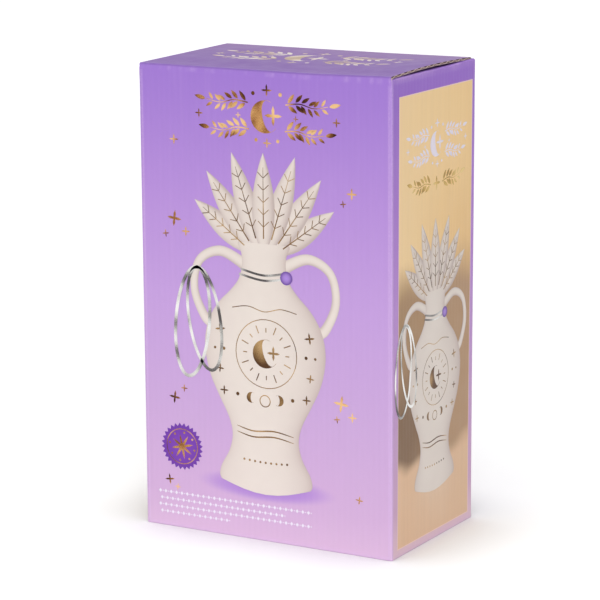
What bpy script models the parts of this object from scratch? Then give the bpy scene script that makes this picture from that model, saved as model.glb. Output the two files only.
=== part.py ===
"""Printed carton of thin corrugated board with a tuck lid.

Units are metres and +Z is up. The base rests on z = 0 below the origin, and the front faces -Y.
The real carton is one folded and glued sheet. Its lid is an object of its own here, cut off at the
front fold, because it swings open about that fold.
"""

import math

import bmesh
import bpy
from mathutils import Vector

# Driving dimensions of the whole carton
WIDTH = 0.150               # left to right, outside
DEPTH = 0.092               # front to back, outside
HEIGHT = 0.250              # base to the top of the lid's front fold
BOARD = 0.0015              # thickness of the corrugated board
INNER_RADIUS = 0.0005       # hollow side of every fold
GAP = 0.0003                # running clearance and the width of a die cut

# Lid and its tuck flap
LID_RISE = 0.0010           # how much higher the lid stands at the back than at the front
LID_INSET = 0.0005          # the lid is this much narrower than the carton on each side
TUCK_DEPTH = 0.015          # length of the tuck flap below the lid
TUCK_LEAN = math.radians(6.0)   # the flap leans inward and so swings clear of the back wall
TUCK_INSET = 0.0025         # side of the tuck flap from the side of the carton, at the lid
TUCK_TAPER = 0.0025         # how much narrower each side is at the tip
TUCK_CORNER = 0.006         # round corner of the tip
BACK_EDGE_DROP = 0.0016     # raw top edge of the back wall, below the lid's back fold
HINGE_DROP = GAP / 2        # the hinge axis lies half way down the gap under the lid's front fold

# Dust flaps, folded in from the side walls
DUST_LENGTH = 0.056
DUST_TAPER = 0.004          # how much narrower each long edge is at the tip
DUST_CORNER = 0.007
DUST_REAR_CLEARANCE = 0.0006    # from the dust flap to the tuck flap

# Glue lap at the back left corner
LAP_WIDTH = 0.014           # from the side wall's outer face
LAP_SLOPE = 0.010           # height of the slanted cut at both ends of the lap
LAP_BELOW_TUCK = 0.003      # the lap ends this far below the tuck flap's tip
GLUE_LINE = 0.0001          # left between the lap and the back wall
GLUE_BITE = 0.0002          # the base's glued layers share this much, which fuses them

# Crash-lock base
BASE_FLAP_GAP = 0.024       # between the two inner side flaps
BASE_FLAP_CORNER = 0.012    # slanted corners of the inner side flaps
BASE_FLAP_SIDE_GAP = 0.0010     # inner side flap to the front and back walls
HOOK_OFFSET = 0.008         # the outer flaps meet this far before and behind the middle
HOOK_RUN = 0.010            # half length of the slanted stretch of that seam
SEAM_WIDTH = 0.0006
SEAM_DEPTH = 0.0009
SEAM_SIDE_INSET = 0.0030    # raw side edges of the outer flaps, from the side walls' faces

# Facets
FOLD_STEPS = 5              # in the quarter turn of a fold
CORNER_STEPS = 6            # in the round corner of a flap
SHOULDER_STEP = 3           # the lid keeps its full width this far round its back fold

# Worked out from the above
FOLD_RADIUS = INNER_RADIUS + BOARD
HALF_WIDTH = WIDTH / 2
HALF_DEPTH = DEPTH / 2
LID_BACK_TOP = HEIGHT + LID_RISE
FRONT_TOP = HEIGHT - FOLD_RADIUS - GAP
BACK_TOP = LID_BACK_TOP - BACK_EDGE_DROP
SIDE_TOP = HEIGHT - BOARD - GAP
SIDE_FOLD_START = SIDE_TOP - FOLD_RADIUS
POST_EDGE = HALF_DEPTH - FOLD_RADIUS - GAP      # the corner folds run on above the side walls from here
FLAP_EDGE = POST_EDGE - GAP                     # the dust flaps' folds end here
LAP_FACE = HALF_DEPTH - BOARD - GLUE_LINE
SEAM_START = LAP_FACE - FOLD_RADIUS             # the left wall's back fold starts here
SEAM_FOOT = FOLD_RADIUS + BOARD                 # below this the back left corner is closed
TUCK_FACE = HALF_DEPTH - BOARD - GAP            # outer face of the tuck flap at the lid's back fold
TUCK_HALF = HALF_WIDTH - TUCK_INSET
LAP_TOP = LID_BACK_TOP - TUCK_DEPTH - LAP_BELOW_TUCK
HINGE = Vector((0.0, -HALF_DEPTH, HEIGHT - FOLD_RADIUS - HINGE_DROP))

# Print on the outside, as sRGB
LILAC = (0.72, 0.57, 0.86)
DUSTY_VIOLET = (0.60, 0.51, 0.71)


def linear(colour):
    """The linear values of an sRGB colour, with alpha 1."""
    return tuple(((c + 0.055) / 1.055) ** 2.4 for c in colour) + (1.0,)


def board_material(name, colour):
    """Matt laminated board in one colour."""
    material = bpy.data.materials.new(name)
    material.use_nodes = True
    shader = material.node_tree.nodes["Principled BSDF"]
    shader.inputs["Base Color"].default_value = linear(colour)
    shader.inputs["Roughness"].default_value = 0.5
    shader.inputs["Metallic"].default_value = 0.0
    material.diffuse_color = linear(colour)
    return material


def clear_scene():
    """Remove every object that is there before."""
    for old in list(bpy.data.objects):
        bpy.data.objects.remove(old, do_unlink=True)


def face_outward(skin):
    """Turn the faces away from the middle, which a skin that is still open needs too."""
    bmesh.ops.recalc_face_normals(skin, faces=skin.faces)
    middle = sum((vertex.co for vertex in skin.verts), Vector()) / len(skin.verts)
    spread = sum(f.normal.dot(f.calc_center_median() - middle) * f.calc_area() for f in skin.faces)
    if spread < 0:
        bmesh.ops.reverse_faces(skin, faces=skin.faces)


def add_object(name, solid):
    """Turn a bmesh into an object of that name, with its faces pointing out."""
    face_outward(solid)
    mesh = bpy.data.meshes.new(name)
    solid.to_mesh(mesh)
    solid.free()
    thing = bpy.data.objects.new(name, mesh)
    bpy.context.scene.collection.objects.link(thing)
    return thing


def add_board(name, skin):
    """A sheet of board whose outer skin is given. Its thickness goes inward."""
    sheet = add_object(name, skin)
    thickness = sheet.modifiers.new("board", "SOLIDIFY")
    thickness.thickness = BOARD
    thickness.offset = -1.0
    thickness.use_even_offset = True
    return sheet


def prism(name, outline, low, high):
    """A closed outline in the plane of the base, swept from low to high."""
    solid = bmesh.new()
    near = [solid.verts.new((x, y, low)) for x, y in outline]
    far = [solid.verts.new((x, y, high)) for x, y in outline]
    solid.faces.new(near)
    solid.faces.new(far[::-1])
    for i in range(len(outline)):
        j = (i + 1) % len(outline)
        solid.faces.new((near[j], near[i], far[i], far[j]))
    return add_object(name, solid)


def combine(target, tool, operation):
    """Let a Boolean modifier join or cut target by tool, which stays as a hidden wire shape."""
    modifier = target.modifiers.new(tool.name, "BOOLEAN")
    modifier.operation = operation
    modifier.solver = "EXACT"
    modifier.object = tool
    tool.hide_render = True
    tool.display_type = "WIRE"


def arc(centre, radius, start, end, steps):
    """Points on an arc in a plane, angles in degrees."""
    angles = [math.radians(start + (end - start) * i / steps) for i in range(steps + 1)]
    return [(centre[0] + radius * math.cos(a), centre[1] + radius * math.sin(a)) for a in angles]


def add_row(skin, before, points):
    """A row of vertices at points, joined by quads to the row before it, which is as long."""
    row = [skin.verts.new(point) for point in points]
    for i in range(len(row) - 1):
        skin.faces.new((before[i], before[i + 1], row[i + 1], row[i]))
    return row


def vertex_at(skin, point):
    """The vertex of skin that lies nearest to point."""
    return min(skin.verts, key=lambda vertex: (vertex.co - Vector(point)).length)


def slice_faces(skin, inside, point, normal):
    """Cut the faces whose middle passes inside(middle) along a plane."""
    faces = [face for face in skin.faces if inside(face.calc_center_median())]
    edges = {edge for face in faces for edge in face.edges}
    corners = {vertex for face in faces for vertex in face.verts}
    bmesh.ops.bisect_plane(skin, geom=[*corners, *edges, *faces], plane_co=point, plane_no=normal)


def delete_faces(skin, inside):
    """Delete the faces whose middle passes inside(middle)."""
    faces = [face for face in skin.faces if inside(face.calc_center_median())]
    bmesh.ops.delete(skin, geom=faces, context="FACES")


def on_wall(middle, side):
    """Whether a point lies on the flat of the right wall, side +1, or of the left wall, side -1."""
    return middle.x * side > HALF_WIDTH - GLUE_LINE


def wall_skin():
    """Outer skin of the four walls and the base, with every fold round."""
    skin = bmesh.new()
    bmesh.ops.create_cube(skin, size=1.0)
    for vertex in skin.verts:
        vertex.co = (vertex.co.x * WIDTH, vertex.co.y * DEPTH, (vertex.co.z + 0.5) * BACK_TOP)
    delete_faces(skin, lambda middle: middle.z > BACK_TOP - BOARD)
    folds = [edge for edge in skin.edges if not edge.is_boundary]
    bmesh.ops.bevel(
        skin, geom=folds, offset=FOLD_RADIUS, segments=FOLD_STEPS, profile=0.5, affect="EDGES", clamp_overlap=False
    )
    return skin


def cut_wall_tops(skin):
    """Lower the front wall to the lid's fold, and the side walls to the start of their own folds."""
    for side in (-1, 1):
        post = POST_EDGE if side > 0 else SEAM_START
        for y in (-POST_EDGE, -FLAP_EDGE, dust_rear(side), post):
            slice_faces(skin, lambda middle: on_wall(middle, side), (0, y, 0), (0, 1, 0))
        between = lambda middle: on_wall(middle, side) and -POST_EDGE < middle.y < post
        slice_faces(skin, between, (0, 0, SIDE_FOLD_START), (0, 0, 1))
        delete_faces(skin, lambda middle: between(middle) and middle.z > SIDE_FOLD_START)
    front = lambda middle: middle.y < -POST_EDGE
    slice_faces(skin, front, (0, 0, FRONT_TOP), (0, 0, 1))
    delete_faces(skin, lambda middle: front(middle) and middle.z > FRONT_TOP)


def dust_rear(side):
    """Where a dust flap ends at the back: short of the tuck flap, and on the left of the lap's fold too."""
    free = TUCK_FACE - BOARD - DUST_REAR_CLEARANCE
    return free if side > 0 else min(free, SEAM_START - GAP)


def add_dust_flap(skin, side):
    """One dust flap with its fold, on the top edge of a side wall. side is +1 right and -1 left."""
    ends = (-FLAP_EDGE, dust_rear(side))
    place = lambda u, y, z: (side * (HALF_WIDTH - u), y, z)
    row = [vertex_at(skin, place(0, y, SIDE_FOLD_START)) for y in ends]
    for u, z in arc((FOLD_RADIUS, SIDE_FOLD_START), FOLD_RADIUS, 180, 90, FOLD_STEPS)[1:]:
        row = add_row(skin, row, [place(u, y, z) for y in ends])
    inner = DUST_LENGTH - DUST_CORNER
    slope = DUST_TAPER + DUST_CORNER
    outline = arc((inner, ends[0] + slope), DUST_CORNER, -90, 0, CORNER_STEPS)
    outline += arc((inner, ends[1] - slope), DUST_CORNER, 0, 90, CORNER_STEPS)
    flap = [skin.verts.new(place(u, y, SIDE_TOP)) for u, y in outline]
    skin.faces.new([row[0], *flap, row[1]])


def open_seam(skin):
    """Part the left wall from the back wall above the base, where the sheet's two ends meet."""
    left = lambda middle: on_wall(middle, -1)
    back = lambda middle: middle.y > HALF_DEPTH - GLUE_LINE
    fold = lambda middle: middle.x < FOLD_RADIUS - HALF_WIDTH and middle.y > HALF_DEPTH - FOLD_RADIUS
    end = lambda middle: fold(middle) or (left(middle) and middle.y > SEAM_START)
    slice_faces(skin, lambda middle: left(middle) or back(middle) or fold(middle), (0, 0, SEAM_FOOT), (0, 0, 1))
    delete_faces(skin, lambda middle: end(middle) and middle.z > SEAM_FOOT)
    slice_faces(skin, lambda middle: left(middle) or back(middle), (0, 0, SEAM_FOOT + GAP), (0, 0, 1))
    slice_faces(skin, left, (0, 0, LAP_TOP), (0, 0, 1))
    levels = (SEAM_FOOT + GAP, BACK_TOP)
    edge = [vertex_at(skin, (FOLD_RADIUS - HALF_WIDTH, HALF_DEPTH, z)) for z in levels]
    add_row(skin, edge, [(-HALF_WIDTH, HALF_DEPTH, z) for z in levels])


def add_glue_lap(skin):
    """The left wall's back fold and its lap, which lies on the inside of the back wall."""
    levels = (SEAM_FOOT + GAP, LAP_TOP, SIDE_FOLD_START)
    row = [vertex_at(skin, (-HALF_WIDTH, SEAM_START, z)) for z in levels]
    for x, y in arc((FOLD_RADIUS - HALF_WIDTH, SEAM_START), FOLD_RADIUS, 180, 90, FOLD_STEPS)[1:]:
        row = add_row(skin, row, [(x, y, z) for z in levels])
    tip = LAP_WIDTH - HALF_WIDTH
    low = skin.verts.new((tip, LAP_FACE, SEAM_FOOT + LAP_SLOPE))
    high = skin.verts.new((tip, LAP_FACE, LAP_TOP - LAP_SLOPE))
    skin.faces.new((row[0], low, high, row[1]))


def add_base_flap(body, side):
    """An inner side flap of the base, glued over the outer flaps. side is +1 right and -1 left."""
    wall = HALF_WIDTH - BOARD + GLUE_BITE
    tip = BASE_FLAP_GAP / 2
    half = HALF_DEPTH - BOARD - BASE_FLAP_SIDE_GAP
    cut = BASE_FLAP_CORNER
    shape = [(wall, -half), (wall, half), (tip + cut, half), (tip, half - cut), (tip, cut - half), (tip + cut, -half)]
    name = f"base_flap_{'right' if side > 0 else 'left'}"
    combine(body, prism(name, [(side * x, y) for x, y in shape], BOARD - GLUE_BITE, 2 * BOARD), "UNION")


def cut_base_seams(body):
    """Grooves under the base where the outer flaps' raw edges lie: one hooked seam between two side edges."""
    half = SEAM_WIDTH / 2
    near = HALF_WIDTH - SEAM_SIDE_INSET - half
    far = near + SEAM_WIDTH
    reach = HALF_DEPTH - FOLD_RADIUS
    lower = HOOK_OFFSET - half
    upper = HOOK_OFFSET + half
    turned_half = [
        (far, -reach), (far, reach), (near, reach), (near, upper), (HOOK_RUN, upper),
        (-HOOK_RUN, -lower), (-near, -lower), (-near, reach),
    ]
    outline = turned_half + [(-x, -y) for x, y in turned_half]
    combine(body, prism("base_seams", outline, -BOARD, SEAM_DEPTH), "DIFFERENCE")


def make_body():
    """The folded sheet without its lid."""
    skin = wall_skin()
    cut_wall_tops(skin)
    for side in (-1, 1):
        add_dust_flap(skin, side)
    open_seam(skin)
    add_glue_lap(skin)
    body = add_board("carton_body", skin)
    for side in (-1, 1):
        add_base_flap(body, side)
    cut_base_seams(body)
    body.data.materials.append(board_material("printed_board", LILAC))
    return body


def bend(corner, before, after):
    """Points of a round fold of the outer skin, from the direction before to the direction after."""
    turn = before.angle(after)
    right = Vector((before.y, -before.x))
    centre = corner - before * FOLD_RADIUS * math.tan(turn / 2) + right * FOLD_RADIUS
    angles = [turn * step / FOLD_STEPS for step in range(FOLD_STEPS + 1)]
    return [centre - (right * math.cos(a) - before * math.sin(a)) * FOLD_RADIUS for a in angles]


def make_lid():
    """Front fold, top panel and tuck flap, with the object's origin on the fold's hinge axis."""
    front = Vector((-HALF_DEPTH, HEIGHT))
    back = Vector((TUCK_FACE, LID_BACK_TOP))
    up = Vector((0.0, 1.0))
    along = (back - front).normalized()
    down = Vector((-math.sin(TUCK_LEAN), -math.cos(TUCK_LEAN)))
    front_fold = bend(front, up, along)
    back_fold = bend(back, along, down)
    wide = HALF_WIDTH - LID_INSET
    columns = (-wide, -TUCK_HALF, TUCK_HALF, wide)
    at = lambda x, point: Vector((x, point.x, point.y)) - HINGE

    skin = bmesh.new()
    row = [skin.verts.new(at(x, front_fold[0])) for x in columns]
    for point in front_fold[1:] + back_fold[:SHOULDER_STEP + 1]:
        row = add_row(skin, row, [at(x, point) for x in columns])
    row = row[1:-1]
    for point in back_fold[SHOULDER_STEP + 1:]:
        row = add_row(skin, row, [at(x, point) for x in columns[1:-1]])

    tip_half = TUCK_HALF - TUCK_TAPER
    corner = (tip_half - TUCK_CORNER, TUCK_DEPTH - TUCK_CORNER)
    rim = arc(corner, TUCK_CORNER, 0, 90, CORNER_STEPS)
    outline = rim + [(-x, depth) for x, depth in reversed(rim)]
    flap = [skin.verts.new(at(x, back + down * depth)) for x, depth in outline]
    skin.faces.new([row[1], *flap, row[0]])

    lid = add_board("lid", skin)
    lid.location = HINGE
    lid.data.materials.append(board_material("printed_lid", DUSTY_VIOLET))
    return lid


def main():
    """Build the carton."""
    clear_scene()
    make_body()
    make_lid()


main()
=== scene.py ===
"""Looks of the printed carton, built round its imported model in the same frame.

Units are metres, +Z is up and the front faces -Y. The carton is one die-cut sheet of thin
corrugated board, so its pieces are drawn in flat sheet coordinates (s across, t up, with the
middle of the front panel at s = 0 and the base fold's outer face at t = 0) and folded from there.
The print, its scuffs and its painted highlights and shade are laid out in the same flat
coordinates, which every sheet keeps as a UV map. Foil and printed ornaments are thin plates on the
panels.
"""

import logging
import math
from collections.abc import Callable, Iterable, Sequence
from dataclasses import dataclass, field
from enum import Enum, IntEnum

import bmesh
import bpy
from mathutils import Matrix, Vector, noise


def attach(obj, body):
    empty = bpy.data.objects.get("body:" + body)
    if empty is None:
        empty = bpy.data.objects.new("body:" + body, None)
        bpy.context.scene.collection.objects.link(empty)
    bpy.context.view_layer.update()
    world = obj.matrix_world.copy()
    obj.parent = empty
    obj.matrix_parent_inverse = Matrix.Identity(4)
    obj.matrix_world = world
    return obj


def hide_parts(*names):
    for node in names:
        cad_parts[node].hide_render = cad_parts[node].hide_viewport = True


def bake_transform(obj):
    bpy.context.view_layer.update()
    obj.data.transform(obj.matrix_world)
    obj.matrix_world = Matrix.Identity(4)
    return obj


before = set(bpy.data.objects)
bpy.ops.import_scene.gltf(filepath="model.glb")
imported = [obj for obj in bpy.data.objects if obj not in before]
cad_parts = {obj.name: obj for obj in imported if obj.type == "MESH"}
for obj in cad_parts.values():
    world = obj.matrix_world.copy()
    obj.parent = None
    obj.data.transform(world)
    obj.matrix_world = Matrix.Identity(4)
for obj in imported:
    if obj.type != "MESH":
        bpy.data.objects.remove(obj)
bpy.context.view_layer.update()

LOG = logging.getLogger("carton")
SLACK = 1e-6
UP = Vector((0, 0, 1))
FLAT_MAP = "flat"
# This UV map holds scuffs with painted highlights and painted shade on the print, the recess's depth at
# raw edges, and the place across a stroke on plates.
WEAR_MAP = "wear_and_painted_light"

Colour = tuple[float, float, float]
Stop = tuple[float, Colour]
Outline = list[tuple[float, float]]
Skin = tuple[Vector, Vector]
Material = bpy.types.Material
Object = bpy.types.Object
Socket = bpy.types.NodeSocket


def linear(colour: Colour) -> tuple[float, float, float, float]:
    """The linear values of an sRGB colour given from 0 to 255, with alpha 1."""
    return tuple(((c / 255 + 0.055) / 1.055) ** 2.4 for c in colour) + (1.0,)


def smoothstep(low: float, high: float, value: float) -> float:
    """A smooth rise from 0 at low to 1 at high.

    Args:
        low: Where the rise starts.
        high: Where it ends, which may be below low for a fall.
        value: Where it is read.

    Returns:
        A number from 0 to 1.
    """
    t = min(1.0, max(0.0, (value - low) / (high - low)))
    return t * t * (3 - 2 * t)


def spaced(start: float, end: float, step: float) -> list[float]:
    """Values from start to end, both included, no further apart than step.

    Args:
        start: The first value.
        end: The last value.
        step: The widest spacing.

    Returns:
        The values in order.
    """
    count = max(1, math.ceil(abs(end - start) / step - SLACK))
    return [start + (end - start) * i / count for i in range(count + 1)]


def merged(*runs: Iterable[float]) -> list[float]:
    """All values of several runs in rising order, each once.

    Args:
        *runs: The runs of values.

    Returns:
        The sorted values, with those closer than a micrometre taken as one.
    """
    values: list[float] = []
    for value in sorted(v for run in runs for v in run):
        if not values or value - values[-1] > SLACK:
            values.append(value)
    return values


def bell(offset: float, spread: float) -> float:
    """A bell curve: 1 at no offset, and almost 0 at twice the spread."""
    return math.exp(-((offset / spread) ** 2))


def rounding(radius: float, left: float) -> float:
    """How far a rounded corner draws its side in, at a distance short of the corner's end."""
    if left >= radius:
        return 0.0
    return radius - math.sqrt(max(0.0, radius**2 - (radius - left) ** 2))


def rounded_rows(tip: float, radius: float) -> list[float]:
    """Rows that follow a corner of that radius up to its tip."""
    return [tip - radius * (1 - math.sin(math.radians(a))) for a in range(0, 91, 9)]


def bearing(azimuth: float, elevation: float) -> Vector:
    """The direction towards a place seen at an azimuth right of the front's, both in radians."""
    level = math.cos(elevation)
    return Vector((math.sin(azimuth) * level, -math.cos(azimuth) * level, math.sin(elevation)))


def placed(name: str, data: bpy.types.ID) -> Object:
    """A new object of that name and data, linked to the scene."""
    thing = bpy.data.objects.new(name, data)
    bpy.context.scene.collection.objects.link(thing)
    return thing


def made_solid(
    name: str, solid: bmesh.types.BMesh, materials: Sequence[Material]
) -> Object:
    """The object of a mesh that is done, with its materials.

    Args:
        name: The object's name.
        solid: The mesh, which is freed.
        materials: Its material slots in order.

    Returns:
        The object, linked to the scene.
    """
    mesh = bpy.data.meshes.new(name)
    solid.to_mesh(mesh)
    solid.free()
    for material in materials:
        mesh.materials.append(material)
    return placed(name, mesh)


class Layer(IntEnum):
    """Material slots of a sheet of board."""

    PRINT = 0
    PICTURE = 1
    LINER_EDGE = 2
    CORE = 3
    INSIDE = 4


class Panel(Enum):
    """The part of the flat sheet that a coordinate s lies on."""

    LAP = "lap"
    LEFT = "left"
    FRONT = "front"
    RIGHT = "right"
    BACK = "back"
    FOLD = "fold"


@dataclass(frozen=True)
class Dieline:
    """Sizes of the folded sheet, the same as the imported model's."""

    width: float = 0.150
    depth: float = 0.092
    height: float = 0.250
    board: float = 0.0015
    radius: float = 0.0020
    tight: float = 0.0004
    lid_rise: float = 0.0010
    lid_inset: float = 0.0005
    seam_start: float = 0.0424
    lap_width: float = 0.0120
    back_top: float = 0.2494
    side_fold: float = 0.2462
    tuck_face: float = 0.0442

    @property
    def half_width(self) -> float:
        """Half the outside width."""
        return self.width / 2

    @property
    def half_depth(self) -> float:
        """Half the outside depth."""
        return self.depth / 2

    @property
    def flat_x(self) -> float:
        """Where the front and back panels' flats end."""
        return self.half_width - self.radius

    @property
    def flat_y(self) -> float:
        """Where the side panels' flats end."""
        return self.half_depth - self.radius

    @property
    def quarter(self) -> float:
        """Length of the outer skin round a right-angled fold."""
        return self.radius * math.pi / 2

    @property
    def corner_s(self) -> float:
        """s at the lid's cut edge, in a front corner, where the fold is tight at the top."""
        flat = self.radius - self.tight
        return self.flat_x + self.quarter * flat / (2 * flat + self.tight * math.pi / 2)

    @property
    def right_start(self) -> float:
        """s at the front end of the right panel's flat."""
        return self.flat_x + self.quarter

    @property
    def back_start(self) -> float:
        """s at the right end of the back panel's flat."""
        return self.right_start + 2 * self.flat_y + self.quarter

    @property
    def rear_fold(self) -> float:
        """s at the middle of the rear right fold."""
        return self.back_start - self.quarter / 2

    @property
    def back_middle(self) -> float:
        """s at the middle of the back panel."""
        return self.back_start + self.flat_x

    @property
    def left_start(self) -> float:
        """s at the front end of the left panel's flat."""
        return -self.flat_x - self.quarter

    @property
    def left_end(self) -> float:
        """s at the back end of the left panel's flat."""
        return self.left_start - self.flat_y - self.seam_start

    @property
    def lap_start(self) -> float:
        """s where the glue lap's flat starts."""
        return self.left_end - self.quarter

    @property
    def base_start(self) -> float:
        """t where the base flaps' flats start."""
        return self.radius - self.quarter

    def panel(self, s: float) -> Panel:
        """The panel at s.

        Args:
            s: Flat coordinate across the sheet.

        Returns:
            The panel.
        """
        if abs(s) <= self.flat_x:
            return Panel.FRONT
        if self.right_start <= s <= self.right_start + 2 * self.flat_y:
            return Panel.RIGHT
        if s >= self.back_start:
            return Panel.BACK
        if self.left_end <= s <= self.left_start:
            return Panel.LEFT
        return Panel.LAP if s < self.lap_start else Panel.FOLD

    def side_y(self, s: float) -> float:
        """y of a point on either side panel."""
        return abs(s) - self.right_start - self.flat_y

    def right_s(self, y: float) -> float:
        """s of a point on the right panel."""
        return self.right_start + self.flat_y + y


@dataclass(frozen=True)
class Bend:
    """A right-angled fold, turned in a square of the sheet's nominal radius with a sharper one."""

    square: float
    radius: float

    def at(self, share: float) -> tuple[float, float, float]:
        """Where the skin is at a share of the fold.

        Args:
            share: From 0 at the fold's start to 1 at its end.

        Returns:
            How far it has gone inward and along, and its angle.
        """
        flat = self.square - self.radius
        path = share * (2 * flat + self.radius * math.pi / 2) - flat
        if path <= 0:
            return 0.0, flat + path, 0.0
        angle = path / self.radius
        if angle < math.pi / 2:
            return self.radius * (1 - math.cos(angle)), flat + self.radius * math.sin(angle), angle
        return self.radius + path - self.radius * math.pi / 2, self.square, math.pi / 2


@dataclass(frozen=True)
class Crease:
    """Score lines beside a vertical fold: two shallow ridges with a valley between them.

    Places are distances along the sheet from the fold's middle. They close up on it at the lid.
    """

    ridges: tuple[float, float] = (-0.0013, 0.0002)
    valley: float = -0.0006
    height: float = 0.00007
    spread: float = 0.00042
    lean_start: float = 0.2350
    lean_end: float = 0.2475
    closing: float = 0.85
    fade_start: float = 0.2440
    fade_end: float = 0.2464

    def lines(self, distance: float, t: float) -> tuple[float, float]:
        """How far a point is on a ridge and in the valley.

        Args:
            distance: Along the sheet from the fold's middle.
            t: Flat coordinate up the sheet.

        Returns:
            Two amounts from 0 to 1.
        """
        pull = 1 - self.closing * smoothstep(self.lean_start, self.lean_end, t)
        crest = max(bell(distance - at * pull, self.spread) for at in self.ridges)
        return crest, bell(distance - self.valley * pull, self.spread)

    def offset(self, distance: float, t: float) -> float:
        """How far the skin lies outside the plain fold."""
        crest, hollow = self.lines(distance, t)
        return (crest - hollow) * self.height * smoothstep(self.fade_end, self.fade_start, t)


@dataclass
class Sheet:
    """A sheet of board given by a grid in flat coordinates, of which some cells are kept.

    skin gives the outer skin's point and normal, layer the slot of an outer face, and
    wear_and_painted_light two amounts from 0 to 1 for the print's material: scuffs with painted
    highlights, and painted shade. At a raw edge the second UV map holds the recess's depth, which the
    core's material paints as shade, and the place across the board instead. tear is the fineness
    of ragged paper, waver the fineness and amount of the flutes' unevenness, and swing their height.
    """

    name: str
    columns: list[float]
    rows: list[float]
    keep: Callable[[float, float], bool]
    skin: Callable[[float, float], Skin]
    wear_and_painted_light: Callable[[float, float], tuple[float, float]]
    layer: Callable[[float, float], int] = lambda s, t: Layer.PRINT
    flush: Callable[[float, float], bool] = lambda s, t: False
    board: float = 0.0015
    liner: float = 0.00020
    recess: float = 0.00070
    rings: int = 7
    flute: float = 0.0
    wall: float = 0.13
    plain: float = 0.35
    tear: float = 260.0
    waver: tuple[float, float] = (160.0, 1.3)
    swing: float = 0.46

    def middle(self, i: int, j: int) -> tuple[float, float]:
        """The middle of a cell in flat coordinates."""
        return (self.columns[i] + self.columns[i + 1]) / 2, (self.rows[j] + self.rows[j + 1]) / 2

    def hollow(self, along: float, share: float) -> float:
        """How deep the raw edge of the core lies back, from 0 to 1.

        Args:
            along: Flat coordinate along the edge.
            share: Place across the core, 0 at the outer liner and 1 at the inner one.

        Returns:
            0 on the fluted paper and on the liners, up to 1 in the hollows between them.
        """
        ragged = 0.5 + 0.5 * noise.noise(Vector((along * self.tear, share * 3, 2.0)))
        if not self.flute:
            return self.plain * ragged * math.sin(math.pi * share)
        fineness, amount = self.waver
        uneven = amount * noise.noise(Vector((along * fineness, 7.0, 0.0)))
        paper = 0.5 + self.swing * math.sin(2 * math.pi * along / self.flute + uneven)
        return smoothstep(self.wall, 2.4 * self.wall, abs(share - paper)) * (0.6 + 0.4 * ragged)

    def build(self, materials: Sequence[Material]) -> Object:
        """Build the sheet as one closed mesh, a sandwich of liner, core and liner at its raw edges.

        Args:
            materials: One material for each Layer.

        Returns:
            The object, linked to the scene.
        """
        solid = bmesh.new()
        flat = solid.loops.layers.uv.new(FLAT_MAP)
        worn = solid.loops.layers.uv.new(WEAR_MAP)
        cells = [
            (i, j)
            for i in range(len(self.columns) - 1)
            for j in range(len(self.rows) - 1)
            if self.keep(*self.middle(i, j))
        ]
        corners = {(i + a, j + b) for i, j in cells for a in (0, 1) for b in (0, 1)}
        spot = {key: (self.columns[key[0]], self.rows[key[1]]) for key in corners}
        skins = {key: self.skin(*spot[key]) for key in corners}
        age = {key: self.wear_and_painted_light(*spot[key]) for key in corners}
        outer = {key: solid.verts.new(skins[key][0]) for key in corners}
        inner = {key: solid.verts.new(skins[key][0] - skins[key][1] * self.board) for key in corners}

        def add(
            vertices: list[bmesh.types.BMVert],
            keys: list[tuple[int, int]],
            slot: int,
            notes: list[tuple[float, float]] | None = None,
        ) -> None:
            """One face with its flat coordinates and its wear."""
            face = solid.faces.new(vertices)
            face.material_index = slot
            face.smooth = True
            for n, (loop, key) in enumerate(zip(face.loops, keys)):
                loop[flat].uv = spot[key]
                loop[worn].uv = notes[n] if notes else age[key]

        edges: dict[tuple, tuple[int, int]] = {}
        for i, j in cells:
            keys = [(i, j), (i + 1, j), (i + 1, j + 1), (i, j + 1)]
            add([outer[k] for k in keys], keys, self.layer(*self.middle(i, j)))
            add([inner[k] for k in keys[::-1]], keys[::-1], Layer.INSIDE)
            for a, b in zip(keys, keys[1:] + keys[:1]):
                if edges.pop((b, a), None) is None:
                    edges[(a, b)] = (i, j)

        inward: dict[tuple[int, int], Vector] = {}
        for (a, b), (i, j) in edges.items():
            middle = sum((skins[(i + p, j + q)][0] for p in (0, 1) for q in (0, 1)), Vector()) / 4
            for key in (a, b):
                point, normal = skins[key]
                pull = middle - point
                pull = (pull - normal * pull.dot(normal)).normalized()
                inward[key] = inward.get(key, Vector()) + pull

        core = self.board - 2 * self.liner
        shares = [n / self.rings for n in range(self.rings + 1)]
        rings: dict[tuple[int, int], list[bmesh.types.BMVert]] = {}
        hollows: dict[tuple[int, int], list[float]] = {}
        for key, pull in inward.items():
            point, normal = skins[key]
            pull = pull.normalized() if pull.length > 1e-9 else pull
            open_edge = not self.flush(*spot[key])
            hollow = [self.hollow(sum(spot[key]), share) * open_edge for share in shares]
            ring = [outer[key]]
            for share, amount in zip(shares, hollow):
                depth = self.liner + core * share
                ring.append(solid.verts.new(point - normal * depth + pull * amount * self.recess))
            rings[key] = [*ring, inner[key]]
            hollows[key] = [0.0, *hollow, 0.0]
        count = len(shares) + 1
        for a, b in edges:
            for n in range(count):
                strip = ((b, n), (a, n), (a, n + 1), (b, n + 1))
                add(
                    [rings[key][m] for key, m in strip],
                    [key for key, _ in strip],
                    Layer.LINER_EDGE if n in (0, count - 1) else Layer.CORE,
                    [(hollows[key][m], m / count) for key, m in strip],
                )
        bmesh.ops.remove_doubles(solid, verts=solid.verts, dist=SLACK)
        for edge in solid.edges:
            slots = {face.material_index for face in edge.link_faces}
            if Layer.LINER_EDGE in slots and len(slots) > 1:
                edge.smooth = False
        return made_solid(self.name, solid, materials)


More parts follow.
